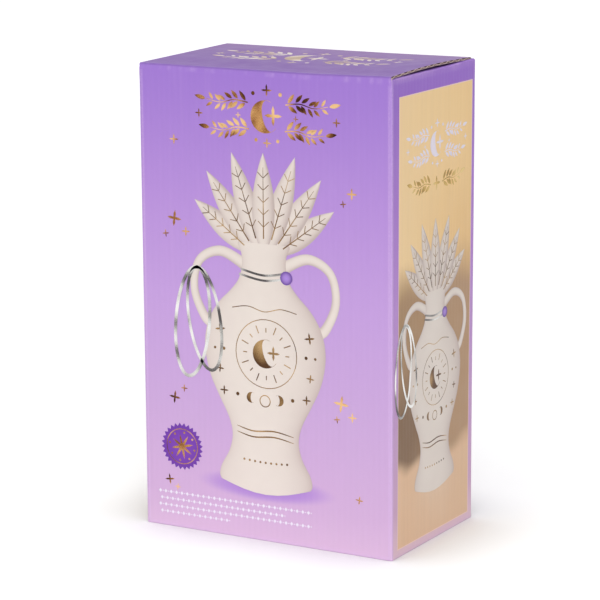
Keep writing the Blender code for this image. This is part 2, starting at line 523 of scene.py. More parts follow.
@dataclass
class Wrap:
    """The four walls with the glue lap, the dust flaps and the base's outer flaps: one folded sheet.

    rises are how much the wall's top stands up at the stations of rise_stations,
    scuff_and_highlight_band is where the print is scuffed and carries a painted highlight beside a
    vertical fold, ridge_scuff_and_highlight how much it is scuffed and painted lighter on the
    crease's ridges, base_wear how much it is scuffed at the base fold, and valley_painted_shade how
    much painted shade lies in the crease's valley.
    """

    dieline: Dieline = field(default_factory=Dieline)
    crease: Crease = field(default_factory=Crease)
    joint: float = 0.2465
    post_edge: float = 0.0437
    flap_edge: float = 0.0434
    dust_rear: float = 0.0421
    dust_length: float = 0.0560
    dust_taper: float = 0.0040
    dust_corner: float = 0.0070
    lap_low: float = 0.0038
    lap_high: float = 0.2330
    lap_slope: float = 0.0100
    seam_half: float = 0.0003
    seam_side: float = 0.0720
    hook: float = 0.0080
    hook_run: float = 0.0100
    rear_rise: float = 0.00078
    sag: float = math.radians(5.0)
    dome_start: float = 0.2472
    dome: float = 0.0012
    fold: float = 0.0009
    base_fold: float = 0.0004
    top_fold: float = 0.0012
    flare: float = 0.0006
    picture: tuple[float, float, float, float] = (-0.0402, 0.0431, 0.0036, 0.2402)
    cell: float = 0.0032
    rear_span: tuple[float, float] = (0.008, 0.036)
    flare_up: tuple[float, float] = (0.020, 0.240)
    flare_back: tuple[float, float] = (-0.040, 0.040)
    lift_fade: tuple[float, float] = (0.004, 0.030)
    patch_scale: float = 120.0
    rises: tuple[float, ...] = (0.0012, 0.0015, 0.0016, 0.0021, 0.0020, 0.0008, 0.0)
    tighten: float = 0.238
    # Scuffs with painted highlights beside and on the vertical folds, and painted shade in their
    # valleys.
    pale: float = 0.50
    scuff_and_highlight_band: tuple[float, float, float, float] = (-0.0022, -0.0014, 0.0010, 0.0017)
    ridge_scuff_and_highlight: float = 0.85
    base_wear: float = 0.8
    valley_painted_shade: float = 0.06

    @property
    def rise_stations(self) -> tuple[tuple[float, float], ...]:
        """Places from the right front corner round to the back, each with its rise."""
        d = self.dieline
        places = (
            d.corner_s, d.right_s(-0.040), d.right_s(0.010), d.right_s(0.040),
            d.rear_fold, d.back_start, d.back_start + 0.020,
        )
        return tuple(zip(places, self.rises))

    def rise(self, s: float) -> float:
        """How much the wall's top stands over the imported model's, mostly along the right side.

        Args:
            s: Flat coordinate across the sheet.

        Returns:
            The rise in metres.
        """
        d = self.dieline
        if s < 0:
            left = d.panel(s) is Panel.LEFT
            return self.rear_rise * smoothstep(*self.rear_span, d.side_y(s)) * left
        stations = self.rise_stations
        if not d.corner_s < s < stations[-1][0]:
            return 0.0
        for (start, low), (end, high) in zip(stations, stations[1:]):
            if s <= end:
                return low + (high - low) * smoothstep(start, end, s)
        return 0.0

    @property
    def side_start(self) -> float:
        """t where a side panel turns into its dust flap."""
        return self.dieline.side_fold + self.dieline.radius - self.top_fold

    @property
    def side_quarter(self) -> float:
        """Length of the skin round that turn."""
        return self.top_fold * math.pi / 2

    def fold_distance(self, s: float) -> float:
        """Distance along the sheet from the nearest vertical fold's middle, below 0 off the sides.

        Args:
            s: Flat coordinate across the sheet.

        Returns:
            The distance in metres.
        """
        d = self.dieline
        if s > d.right_start + d.flat_y:
            return d.rear_fold - s
        if s < d.left_start - d.flat_y:
            return s - d.left_end + d.quarter / 2
        return abs(s) - d.flat_x - d.quarter / 2

    def around(self, s: float, t: float) -> Skin:
        """Point and outward normal of the walls' outer skin, seen from above.

        Args:
            s: Flat coordinate across the sheet.
            t: Flat coordinate up the sheet.

        Returns:
            Two vectors with no height.
        """
        d = self.dieline
        front, back = Vector((0, -1, 0)), Vector((0, 1, 0))
        raised = self.crease.offset(self.fold_distance(s), t)
        if abs(s) <= d.flat_x:
            return Vector((s, -d.half_depth - raised, 0)), front
        side = 1 if s > 0 else -1
        out = Vector((side, 0, 0))
        u = abs(s) - d.flat_x
        if u < d.quarter:
            point, normal = self.corner(Vector((side * d.flat_x, -d.flat_y, 0)), front, out, u, t)
            return point + normal * raised, normal
        u -= d.quarter
        rear = d.flat_y if side > 0 else d.seam_start
        if u <= d.flat_y + rear:
            return Vector((side * (d.half_width + raised), u - d.flat_y, 0)), out
        u -= d.flat_y + rear
        if u < d.quarter:
            point, normal = self.corner(Vector((side * d.flat_x, rear, 0)), out, back, u, t)
            return point + normal * raised, normal
        u -= d.quarter
        return Vector((side * (d.flat_x - u), rear + d.radius + raised, 0)), back

    def corner(self, centre: Vector, start: Vector, end: Vector, u: float, t: float) -> Skin:
        """Point and normal on a vertical fold, u along its outer skin from direction start to end.

        Args:
            centre: The fold's nominal centre.
            start: Normal of the panel before it.
            end: Normal of the panel after it.
            u: How far along the skin.
            t: Flat coordinate up the sheet.

        Returns:
            The point and the unit normal.
        """
        d = self.dieline
        radius = self.fold - (self.fold - d.tight) * smoothstep(self.tighten, self.joint, t)
        inward, along, angle = Bend(d.radius, radius).at(u / d.quarter)
        point = centre + start * (d.radius - inward) + end * along
        return point, start * math.cos(angle) + end * math.sin(angle)

    def seam_y(self, x: float) -> float:
        """Where the base's two outer flaps meet, a line hooked at the middle."""
        return max(-self.hook, min(self.hook, x * self.hook / self.hook_run))

    def dust_half(self, inward: float) -> float:
        """A dust flap's half width that far in from its panel's face, as a share of its root's."""
        root = (self.flap_edge + self.dust_rear) / 2
        run = max(0.0, inward - self.dieline.radius) / (self.dust_length - self.dieline.radius)
        left = max(0.0, self.dust_length - inward)
        return (root - self.dust_taper * run - rounding(self.dust_corner, left)) / root

    def skin(self, s: float, t: float) -> Skin:
        """Point and normal of the folded sheet's outer skin.

        Args:
            s: Flat coordinate across the sheet.
            t: Flat coordinate up the sheet.

        Returns:
            The point and the unit normal.
        """
        d = self.dieline
        panel = d.panel(s)
        base, normal = self.around(s, t)
        if panel is Panel.LAP:
            run = (d.lap_start - s) / d.lap_width
            middle, half = (self.lap_low + self.lap_high) / 2, (self.lap_high - self.lap_low) / 2
            t = middle + (t - middle) * (1 - run * self.lap_slope / half)
            return base + UP * t, normal
        if t < d.radius:
            return self.foot_skin(panel, base, normal, t)
        y = d.side_y(s)
        lift = self.rise(s) * min(1.0, max(0.0, (t - self.joint) / (self.side_start - self.joint)))
        base = base + normal * self.bulge(s, t)
        corner = panel is Panel.FOLD or y < -self.flap_edge or (y > self.dust_rear and s > 0)
        if panel in (Panel.FRONT, Panel.BACK) or (corner and t < self.dome_start):
            return base + UP * (t + lift), normal
        if corner:
            closing = 1 - smoothstep(d.rear_fold, d.back_start, s)
            angle = min((t - self.dome_start) / self.dome, math.pi / 2)
            inward = self.dome * (1 - math.cos(angle)) * closing
            height = self.dome_start + self.dome * math.sin(angle) + lift
            tilt = angle * closing
            point = base - normal * inward + UP * height
            return point, normal * math.cos(tilt) + UP * math.sin(tilt)
        if t <= self.side_start:
            return base + UP * (t + lift), normal
        return self.flap_skin(base, normal, y, t, lift)

    def foot_skin(self, panel: Panel, base: Vector, normal: Vector, t: float) -> Skin:
        """Point and normal round the bottom fold and on the base's outer flaps.

        Args:
            panel: The panel over the fold.
            base: Where the wall's skin stands, with no height.
            normal: The wall's outward normal.
            t: Flat coordinate up the sheet.

        Returns:
            The point and the unit normal.
        """
        d = self.dieline
        inward, fall, angle = Bend(d.radius, self.base_fold).at(min(1.0, (d.radius - t) / d.quarter))
        if panel is Panel.FOLD:
            inward = min(inward, self.fold)
        beyond = d.base_start - t
        if beyond > 0:
            reach = 1.0
            if panel in (Panel.FRONT, Panel.BACK):
                seam = self.seam_y(base.x) if panel is Panel.FRONT else -self.seam_y(base.x)
                reach = (d.flat_y + seam - self.seam_half) / d.flat_y
            inward += beyond * reach
        point = base - normal * inward + UP * (d.radius - fall)
        return point, normal * math.cos(angle) - UP * math.sin(angle)

    def flap_skin(self, base: Vector, normal: Vector, y: float, t: float, lift: float) -> Skin:
        """Point and normal on a side panel's top fold and its dust flap.

        Args:
            base: Where the wall's skin stands, with no height.
            normal: The wall's outward normal.
            y: Place along the side panel.
            t: Flat coordinate up the sheet.
            lift: How much the wall's top stands up there.

        Returns:
            The point and the unit normal.
        """
        r = self.top_fold
        turn = math.pi / 2 + self.sag
        angle = min((t - self.side_start) / self.side_quarter, 1.0) * turn
        beyond = max(0.0, t - self.side_start - self.side_quarter)
        inward = r * (1 - math.cos(angle)) + beyond * math.cos(self.sag)
        drop = beyond * math.sin(self.sag)
        middle = (self.dust_rear - self.flap_edge) / 2
        y = middle + (y - middle) * self.dust_half(r + beyond if beyond else inward)
        lift *= 1 - smoothstep(*self.lift_fade, inward)
        height = self.side_start + r * math.sin(angle) - drop + lift
        point = Vector((base.x, y, 0)) - normal * inward + UP * height
        return point, normal * math.cos(angle) + UP * math.sin(angle)

    def bulge(self, s: float, t: float) -> float:
        """How far the right panel stands out, most at its free top back corner."""
        y = self.dieline.side_y(s)
        if s < self.dieline.right_start or s > self.dieline.rear_fold:
            return 0.0
        return self.flare * smoothstep(*self.flare_up, t) * smoothstep(*self.flare_back, y)

    def keep(self, s: float, t: float) -> bool:
        """Whether the die leaves board at a flat point.

        Args:
            s: Flat coordinate across the sheet.
            t: Flat coordinate up the sheet.

        Returns:
            True where there is board.
        """
        d = self.dieline
        panel = d.panel(s)
        if panel is Panel.FRONT:
            return t < self.joint and (t > d.base_start or abs(s) < self.seam_side - self.seam_half)
        if panel is Panel.BACK:
            x = d.back_middle - s
            return t < d.back_top and (t > d.base_start or abs(x) < self.seam_side - self.seam_half)
        if panel is Panel.LAP:
            return self.lap_low < t < self.lap_high
        if panel is Panel.FOLD:
            if t < d.base_start:
                return False
            if abs(s) < d.corner_s:
                return t < self.joint
            if abs(s) < d.right_start:
                return t < self.dome_start + self.dome * math.pi / 2
            return t < (d.back_top if s > 0 else d.side_fold) and (s > 0 or t > self.lap_low)
        y = d.side_y(s)
        if t < self.strip:
            return False
        if y < -self.flap_edge:
            return t < self.dome_start + self.dome * math.pi / 2
        if y > self.dust_rear:
            return t < (d.back_top if s > 0 else d.side_fold)
        return True

    def layer(self, s: float, t: float) -> int:
        """The slot of the outer face at a flat point: picture on the side panels, print elsewhere."""
        low_y, high_y, low_t, high_t = self.picture
        if self.dieline.panel(s) in (Panel.LEFT, Panel.RIGHT):
            if low_y < self.dieline.side_y(s) < high_y and low_t < t < high_t:
                return Layer.PICTURE
        return Layer.PRINT

    def wear_and_painted_light(self, s: float, t: float) -> tuple[float, float]:
        """Scuffs with painted highlights, and painted shade, of the print at a flat point, each from 0
        to 1.

        Args:
            s: Flat coordinate across the sheet.
            t: Flat coordinate up the sheet.

        Returns:
            The two amounts.
        """
        d = self.dieline
        distance = self.fold_distance(s)
        # The crease's ridges are scuffed and get a painted highlight; its valley gets painted shade.
        light, dark = self.crease.lines(distance, t)
        outer, full, still, end = self.scuff_and_highlight_band
        pale = self.pale * smoothstep(outer, full, distance) * smoothstep(end, still, distance)
        spot = Vector((s * self.patch_scale, t * self.patch_scale, 5.0))
        patch = smoothstep(-0.25, 0.45, noise.noise(spot))
        low = abs(t - (d.radius + d.base_start) / 2) / (d.quarter / 2)
        light = max(self.ridge_scuff_and_highlight * light, pale, self.base_wear * bell(low, 0.9))
        # On a side panel's top fold: scuffs and a painted highlight along the turn.
        if d.panel(s) in (Panel.LEFT, Panel.RIGHT):
            high = (t - self.side_start - 0.3 * self.side_quarter) / (0.45 * self.side_quarter)
            light = max(light, (0.45 + 0.55 * patch) * bell(high, 1.0))
        return min(1.0, light), self.valley_painted_shade * dark

    def flush(self, s: float, t: float) -> bool:
        """Whether the raw edge at a flat point has no recess, as under the lid and at the base."""
        front = abs(s) <= self.dieline.corner_s + SLACK and t > self.joint - SLACK
        return front or t <= self.dieline.base_start + SLACK

    @property
    def strip(self) -> float:
        """t at the raw end of the narrow strips that the side panels have in the base."""
        d = self.dieline
        return d.base_start - (d.flat_x - (self.seam_side - self.seam_half))

    def grid(self) -> tuple[list[float], list[float]]:
        """Columns and rows of the sheet's cells.

        Returns:
            The values of s and of t in rising order.
        """
        d = self.dieline
        low_y, high_y, low_t, high_t = self.picture
        line = 0.0033
        bends = [spaced(a, b, d.quarter / 14) for a, b in (
            (d.flat_x - line, d.right_start), (d.back_start - d.quarter, d.back_start + line),
            (d.left_start, line - d.flat_x), (d.lap_start, d.left_end),
        )]
        corners = [-d.corner_s, d.corner_s, -d.flat_x, d.flat_x]
        stops = (
            -d.flat_y, -self.post_edge, -self.flap_edge, low_y,
            self.dust_rear, high_y, self.post_edge, d.flat_y,
        )
        right = [spaced(d.right_s(a), d.right_s(b), self.cell) for a, b in zip(stops, stops[1:])]
        seam = d.right_s(d.seam_start)
        left = [[-s for s in run if s <= seam + 1e-9] for run in right] + [[-seam]]
        rim = self.seam_side - self.seam_half
        stops = (-d.flat_x, -rim, 0, rim, d.flat_x)
        front = [spaced(a, b, self.cell) for a, b in zip(stops, stops[1:])]
        stops = [d.back_middle - x for x in (d.flat_x, rim, -rim, -d.half_width)]
        back = [spaced(a, b, self.cell) for a, b in zip(stops, stops[1:])]
        lap = spaced(d.lap_start - d.lap_width, d.lap_start, 0.0024)
        turn_end = self.side_start + self.side_quarter
        tip = turn_end + self.dust_length - self.top_fold
        rows = [
            spaced(d.base_start - d.flat_y, self.strip, self.cell),
            spaced(d.base_start, d.radius, d.quarter / 8), [self.lap_low, low_t],
            spaced(low_t, high_t, self.cell), spaced(high_t, d.side_fold, 0.0012),
            spaced(self.side_start, turn_end, self.side_quarter / 8),
            [self.joint, self.dome_start, d.back_top],
            spaced(self.dome_start, self.dome_start + self.dome * math.pi / 2, self.dome / 4),
            spaced(turn_end, tip - self.dust_corner, self.cell),
            rounded_rows(tip, self.dust_corner),
        ]
        return merged(*bends, corners, *right, *left, *front, *back, lap), merged(*rows)

    def build(self, materials: Sequence[Material]) -> Object:
        """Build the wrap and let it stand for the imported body.

        Args:
            materials: One material for each Layer.

        Returns:
            The wrap.
        """
        columns, rows = self.grid()
        sheet = Sheet("wrap", columns, rows, self.keep, self.skin, self.wear_and_painted_light, self.layer, self.flush)
        wrap = sheet.build(materials)
        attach(wrap, "carton")
        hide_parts("carton_body")
        return wrap


@dataclass
class BaseFlaps:
    """The two inner side flaps of the crash-lock base, glued over its outer flaps."""

    dieline: Dieline = field(default_factory=Dieline)
    reach: float = 0.0120
    cut: float = 0.0120
    side_gap: float = 0.0010
    glue: float = 0.00005
    cell: float = 0.006
    tip_cell: float = 0.004

    def build(self, side: int, materials: Sequence[Material]) -> Object:
        """Build one flap.

        Args:
            side: +1 right, -1 left.
            materials: One material for each Layer.

        Returns:
            The flap.
        """
        d = self.dieline
        wall = d.half_width - d.board - self.glue
        half = d.half_depth - d.board - self.side_gap
        length = wall - self.reach

        def skin(s: float, t: float) -> Skin:
            """The flap's printed face, which looks down on to the outer flaps."""
            share = 1 - max(0.0, t - (length - self.cut)) / half
            point = Vector((side * (wall - t), -side * s * share, d.board + self.glue))
            return point, -UP

        sheet = Sheet(
            f"base_flap_{'right' if side > 0 else 'left'}",
            spaced(-half, half, self.cell),
            merged(
                spaced(0, length - self.cut, self.cell),
                spaced(length - self.cut, length, self.tip_cell),
            ),
            lambda s, t: True,
            skin,
            lambda s, t: (0.0, 0.0),
            board=d.board - self.glue,
        )
        flap = sheet.build(materials)
        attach(flap, "carton")
        return flap


@dataclass
class Lid:
    """The top of the sheet: front fold, lid panel and tuck flap, and a foot of front wall below the
    fold.

    nick_place and nick_spread say where the fold's small wrinkles are. shade_line_place and
    shade_line_spread do so for the painted shade line on the fold, and light_place and light_spread
    for the scuffs before it, which also paint the wrinkles' highlights.
    """

    dieline: Dieline = field(default_factory=Dieline)
    foot: float = 0.2465
    tuck_inset: float = 0.0025
    tuck_depth: float = 0.0150
    tuck_lean: float = math.radians(6.0)
    tuck_taper: float = 0.0025
    tuck_corner: float = 0.0060
    shoulder: float = 0.6
    front_radius: float = 0.0009
    nick: float = 0.00006
    corner_lift: float = 0.0010
    rear_lift: float = 0.0004
    bow: float = 0.0011
    board: float = 0.0012
    flute: float = 0.0072
    cell: float = 0.00045
    lift_span: tuple[float, float] = (0.020, 0.080)
    nick_start: float = 0.0006
    nick_place: float = -0.0008
    nick_spread: float = 0.0013
    light_place: float = -0.0010
    light_spread: float = 0.0012
    # dark is the strength of the painted shade line on the front fold.
    dark: float = 0.85
    shade_line_place: float = 0.0006
    shade_line_spread: float = 0.0005
    rim_wear: float = 0.55
    rim_spread: float = 0.0009
    rear_spread: float = 0.0018

    def __post_init__(self) -> None:
        """Work out the side view's stations."""
        d = self.dieline
        self.front = Vector((-d.half_depth, d.height))
        self.back = Vector((d.tuck_face, d.height + d.lid_rise))
        self.along = (self.back - self.front).normalized()
        self.down = Vector((-math.sin(self.tuck_lean), -math.cos(self.tuck_lean)))
        self.first_turn = math.pi / 2 - math.atan2(self.along.y, self.along.x)
        self.second_turn = self.along.angle(self.down)
        self.first_cut = self.front_radius * math.tan(self.first_turn / 2)
        self.second_cut = d.radius * math.tan(self.second_turn / 2)
        self.bend_start = d.height - self.first_cut
        self.top_start = self.bend_start + self.front_radius * self.first_turn
        run = (self.back - self.front).length
        self.top_end = self.top_start + run - self.first_cut - self.second_cut
        self.tuck_start = self.top_end + d.radius * self.second_turn
        self.tip = self.tuck_start + self.tuck_depth - self.second_cut

    @property
    def half(self) -> float:
        """Half width of the lid panel."""
        return self.dieline.half_width - self.dieline.lid_inset

    @property
    def tuck_half(self) -> float:
        """Half width of the tuck flap at its root."""
        return self.dieline.half_width - self.tuck_inset

    @property
    def shoulder_end(self) -> float:
        """t on the rear fold where the lid narrows to the tuck flap."""
        return self.top_end + self.shoulder * (self.tuck_start - self.top_end)

    def profile(self, t: float) -> Skin:
        """Point and outward normal of the side view at t, as (y, z) pairs.

        Args:
            t: Flat coordinate up the sheet.

        Returns:
            The point and the normal.
        """
        d = self.dieline
        up = Vector((0.0, 1.0))
        if t <= self.bend_start:
            return Vector((-d.half_depth, t)), Vector((-1.0, 0.0))
        if t <= self.top_start:
            start = self.front - up * self.first_cut
            return self.turned(start, up, t - self.bend_start, self.front_radius)
        if t <= self.top_end:
            normal = Vector((-self.along.y, self.along.x))
            return self.front + self.along * (self.first_cut + t - self.top_start), normal
        if t <= self.tuck_start:
            start = self.back - self.along * self.second_cut
            return self.turned(start, self.along, t - self.top_end, d.radius)
        normal = Vector((-self.down.y, self.down.x))
        return self.back + self.down * (self.second_cut + t - self.tuck_start), normal

    def turned(self, start: Vector, before: Vector, gone: float, radius: float) -> Skin:
        """Point and normal on a fold, a length gone from its start in the direction before."""
        angle = gone / radius
        right = Vector((before.y, -before.x))
        normal = before * math.sin(angle) - right * math.cos(angle)
        return start + right * radius + normal * radius, normal

    def nicks(self, x: float, t: float) -> float:
        """Small upright wrinkles along the front fold, as a height of the skin."""
        band = bell(t - self.bend_start - self.nick_place, self.nick_spread)
        return self.nick * band * (noise.noise(Vector((x * 620, t * 60, 4.0))) - 0.25)

    def lift(self, x: float, t: float) -> float:
        """How far the lid stands up at its right edge, most in the middle of it.

        Args:
            x: Place across the lid.
            t: Flat coordinate up the sheet.

        Returns:
            The height in metres.
        """
        share = min(1.0, max(0.0, (t - self.top_start) / (self.top_end - self.top_start)))
        ends = self.corner_lift * (1 - share) + self.rear_lift * share
        grow = min(1.0, max(0.0, (t - self.foot) / (self.bend_start - self.foot)))
        return (ends * grow + self.bow * math.sin(math.pi * share)) * smoothstep(*self.lift_span, x)

    def across(self, s: float, t: float) -> float:
        """x at a flat point of the fold or the lid, whose rims spread a little from the corners.

        Args:
            s: Flat coordinate across the sheet.
            t: Flat coordinate up the sheet.

        Returns:
            The place in metres.
        """
        d = self.dieline
        over = abs(s) - d.flat_x
        if over <= 0:
            return s
        low, high = d.radius - d.tight, self.half - d.flat_x
        reach = low + (high - low) * smoothstep(self.bend_start, self.top_start, t)
        return math.copysign(d.flat_x + over * reach / (d.corner_s - d.flat_x), s)

    def skin(self, s: float, t: float) -> Skin:
        """Point and normal of the lid's outer skin.

        Args:
            s: Flat coordinate across the sheet, which is x here.
            t: Flat coordinate up the sheet.

        Returns:
            The point and the unit normal.
        """
        side, normal = self.profile(t)
        whole = self.foot + self.nick_start
        side = side + normal * self.nicks(s, t) * smoothstep(self.foot, whole, t)
        x = self.across(s, t)
        if t > self.tuck_start:
            run = (t - self.tuck_start) / (self.tip - self.tuck_start)
            half = self.tuck_half - self.tuck_taper * run
            left = self.tip - t
            half -= rounding(self.tuck_corner, left)
            x = s * half / self.tuck_half
        return Vector((x, side.x, side.y + self.lift(x, t))), Vector((0.0, normal.x, normal.y))

    def keep(self, s: float, t: float) -> bool:
        """Whether the die leaves board at a flat point."""
        return abs(s) < (self.dieline.corner_s if t < self.shoulder_end else self.tuck_half)

    def flush(self, s: float, t: float) -> bool:
        """Whether the raw edge at a flat point has no recess, as it has none up to the fold."""
        return t <= self.bend_start + SLACK

    def wear_and_painted_light(self, s: float, t: float) -> tuple[float, float]:
        """Scuffs with painted highlights, and a painted shade line along the front fold, at a flat
        point, each from 0 to 1.

        Args:
            s: Flat coordinate across the sheet.
            t: Flat coordinate up the sheet.

        Returns:
            The two amounts.
        """
        from_fold = t - self.bend_start
        # Specks just below the front fold: scuffs that also paint the wrinkles' highlights.
        speck = max(0.0, noise.noise(Vector((s * 700, t * 60, 9.0)))) * 1.4
        light = min(1.0, bell(from_fold - self.light_place, self.light_spread) * speck)
        rear = abs(t - (self.top_end + self.tuck_start) / 2)
        light = max(light, self.rim_wear * bell(rear, self.rear_spread))
        rim = bell(self.dieline.corner_s - abs(s), self.rim_spread)
        light = max(light, self.rim_wear * rim * (0.4 + speck))
        # The second amount is a painted shade line along the front fold.
        return min(1.0, light), self.dark * bell(from_fold - self.shade_line_place, self.shade_line_spread)

    def build(self, materials: Sequence[Material]) -> Object:
        """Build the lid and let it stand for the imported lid.

        Args:
            materials: One material for each Layer.

        Returns:
            The lid.
        """
        d = self.dieline
        columns = merged(
            spaced(-d.corner_s, -d.flat_x, 0.0005), spaced(-self.tuck_half, self.tuck_half, 0.0018),
            spaced(d.flat_x, d.corner_s, 0.0005),
        )
        rows = merged(
            spaced(self.foot, self.bend_start, 0.0004),
            spaced(self.bend_start, self.top_start, d.quarter / 14),
            spaced(self.top_start, self.top_end, self.cell),
            spaced(self.top_end, self.shoulder_end, d.quarter / 8),
            spaced(self.shoulder_end, self.tuck_start, d.quarter / 8),
            spaced(self.tuck_start, self.tip - self.tuck_corner, 0.0015),
            rounded_rows(self.tip, self.tuck_corner),
        )
        lid = Sheet(
            "lid_sheet", columns, rows, self.keep, self.skin, self.wear_and_painted_light,
            flush=self.flush, flute=self.flute, board=self.board,
        ).build(materials)
        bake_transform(lid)
        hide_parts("lid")
        return lid


class Nodes:
    """Short ways to add nodes to a node tree."""

    def __init__(self, tree: bpy.types.NodeTree) -> None:
        """Work on that tree."""
        self.tree = tree

    def node(self, kind: str, *values: object, **settings: object) -> bpy.types.Node:
        """A node of that kind with its first inputs joined and its settings made."""
        made = self.tree.nodes.new(f"ShaderNode{kind}")
        for key, value in settings.items():
            setattr(made, key, value)
        for value, socket in zip(values, made.inputs):
            self.join(value, socket)
        return made

    def join(self, value: object, socket: Socket) -> None:
        """Link an output to a socket, or set a plain value on it."""
        if isinstance(value, Socket):
            self.tree.links.new(value, socket)
        else:
            socket.default_value = value

    def math(self, operation: str, *values: object) -> Socket:
        """The result of one Math node."""
        return self.node("Math", *values, operation=operation).outputs[0]

    def times(self, first: object, second: object) -> Socket:
        """The product of two values."""
        return self.math("MULTIPLY", first, second)

    def plus(self, first: object, second: object) -> Socket:
        """The sum of two values."""
        return self.math("ADD", first, second)

    def minus(self, first: object, second: object) -> Socket:
        """One value less another."""
        return self.math("SUBTRACT", first, second)

    def size(self, value: object) -> Socket:
        """A value without its sign."""
        return self.math("ABSOLUTE", value)

    def remap(
        self, value: object, low: float, high: float,
        to_low: float = 0.0, to_high: float = 1.0, soft: bool = False,
    ) -> Socket:
        """A value carried from one range to another, held at its ends, with soft ends if asked."""
        kind = "SMOOTHSTEP" if soft else "LINEAR"
        made = self.node("MapRange", value, low, high, to_low, to_high, interpolation_type=kind)
        return made.outputs[0]

    def seen(self) -> Socket:
        """1 for camera, glossy and transmission rays and 0 for the rest."""
        path = self.node("LightPath")
        value = path.outputs["Is Camera Ray"]
        for name in ("Is Glossy Ray", "Is Transmission Ray"):
            value = self.math("MAXIMUM", value, path.outputs[name])
        return value


@dataclass(frozen=True)
class Lamp:
    """A broad soft lamp far off.

    azimuth and elevation give its place in degrees, to the right from straight ahead of the front
    and over the floor, and angle is how many degrees it covers.
    """

    name: str
    power: float
    azimuth: float
    elevation: float
    angle: float
    distance: float = 3.0

    def make(self, centre: Vector) -> Object:
        """Make the lamp, turned to a point.

        Args:
            centre: The point.

        Returns:
            The lamp.
        """
        data = bpy.data.lights.new(self.name, "SUN")
        data.energy = self.power
        data.angle = math.radians(self.angle)
        lamp = placed(self.name, data)
        towards = bearing(math.radians(self.azimuth), math.radians(self.elevation))
        lamp.location = centre + towards * self.distance
        lamp.rotation_euler = (-towards).to_track_quat("-Z", "Y").to_euler()
        return lamp


@dataclass
class Studio:
    """Pale floor, soft lamps, white surroundings and the camera.

    aside moves the camera across and up its own picture. ambient is the surroundings' level as a
    light. floor_glow lifts the open floor to white where it is seen, and fades near the carton, which
    paints contact shade there: contact_shade_reach is how far off it starts to, and
    contact_shade_openness the openness at which nothing of it is left.
    """

    lens: float = 163.44
    sensor: float = 36.0
    azimuth: float = math.radians(29.986)
    elevation: float = math.radians(11.967)
    roll: float = math.radians(-0.401)
    distance: float = 1.45370
    aside: tuple[float, float] = (-0.00442, -0.00319)
    centre: Vector = field(default_factory=lambda: Vector((0.0, 0.0, 0.125)))
    ambient: float = 0.25
    floor_glow: float = 0.385
    contact_shade_reach: float = 0.055
    contact_shade_openness: float = 0.50
    albedo: float = 0.90
    floor_half: float = 6.0
    floor_drop: float = 0.00004
    lamps: tuple[Lamp, ...] = (
        Lamp("key", 1.36, 32.0, 14.5, 28.0),
        Lamp("overhead", 1.60, 8.0, 70.0, 80.0),
    )

    def make_camera(self) -> Object:
        """The camera at the photograph's viewing angle.

        Returns:
            The camera.
        """
        back = bearing(self.azimuth, self.elevation)
        right = Vector((math.cos(self.azimuth), math.sin(self.azimuth), 0.0))
        up = back.cross(right)
        across = right * math.cos(self.roll) + up * math.sin(self.roll)
        over = up * math.cos(self.roll) - right * math.sin(self.roll)
        data = bpy.data.cameras.new("camera")
        data.lens = self.lens
        data.sensor_width = self.sensor
        data.clip_start, data.clip_end = 0.01, 100.0
        camera = placed("camera", data)
        place = Matrix((across, over, back)).transposed().to_4x4()
        place.translation = (
            self.centre + back * self.distance + across * self.aside[0] + over * self.aside[1]
        )
        camera.matrix_world = place
        bpy.context.scene.camera = camera
        return camera

    def make_world(self) -> None:
        """Even surroundings that light at one level and show as white."""
        world = bpy.data.worlds.new("surroundings")
        bpy.context.scene.world = world
        world.use_nodes = True
        world.node_tree.nodes.clear()
        nodes = Nodes(world.node_tree)
        glow = nodes.node("Background")
        level = nodes.remap(nodes.seen(), 0.0, 1.0, self.ambient, 1.0)
        nodes.join(level, glow.inputs["Strength"])
        nodes.node("OutputWorld", glow.outputs[0])

    def floor_finish(self) -> Material:
        """Matt white with a glow where it is open and seen, and clear from below; the glow's fade by
        the carton is painted shade.

        Returns:
            The material.
        """
        material = bpy.data.materials.new("pale_floor")
        material.use_nodes = True
        material.node_tree.nodes.clear()
        nodes = Nodes(material.node_tree)
        matt = nodes.node("BsdfDiffuse", (self.albedo, self.albedo, self.albedo, 1.0))
        # The glow fades where the carton crowds the floor: painted contact shade.
        near = nodes.node("AmbientOcclusion")
        near.inputs["Distance"].default_value = self.contact_shade_reach
        level = nodes.remap(near.outputs["AO"], self.contact_shade_openness, 1.0, 0.0, self.floor_glow)
        glow = nodes.node("Emission")
        nodes.join(nodes.times(nodes.seen(), level), glow.inputs["Strength"])
        both = nodes.node("AddShader", matt.outputs[0], glow.outputs[0])
        below = nodes.node("NewGeometry").outputs["Backfacing"]
        clear = nodes.node("BsdfTransparent")
        mixed = nodes.node("MixShader", below, both.outputs[0], clear.outputs[0])
        nodes.node("OutputMaterial", mixed.outputs[0])
        return material

    def make_floor(self) -> Object:
        """A wide pale floor that shows as white where no shadow lies."""
        solid = bmesh.new()
        bmesh.ops.create_grid(solid, x_segments=8, y_segments=8, size=self.floor_half)
        floor = made_solid("floor", solid, [self.floor_finish()])
        floor.location.z = -self.floor_drop
        return floor

    def build(self) -> None:
        """Set the view transform and make everything round the carton."""
        bpy.context.scene.view_settings.view_transform = "Standard"
        self.make_camera()
        self.make_world()
        self.make_floor()
        for lamp in self.lamps:
            lamp.make(self.centre)


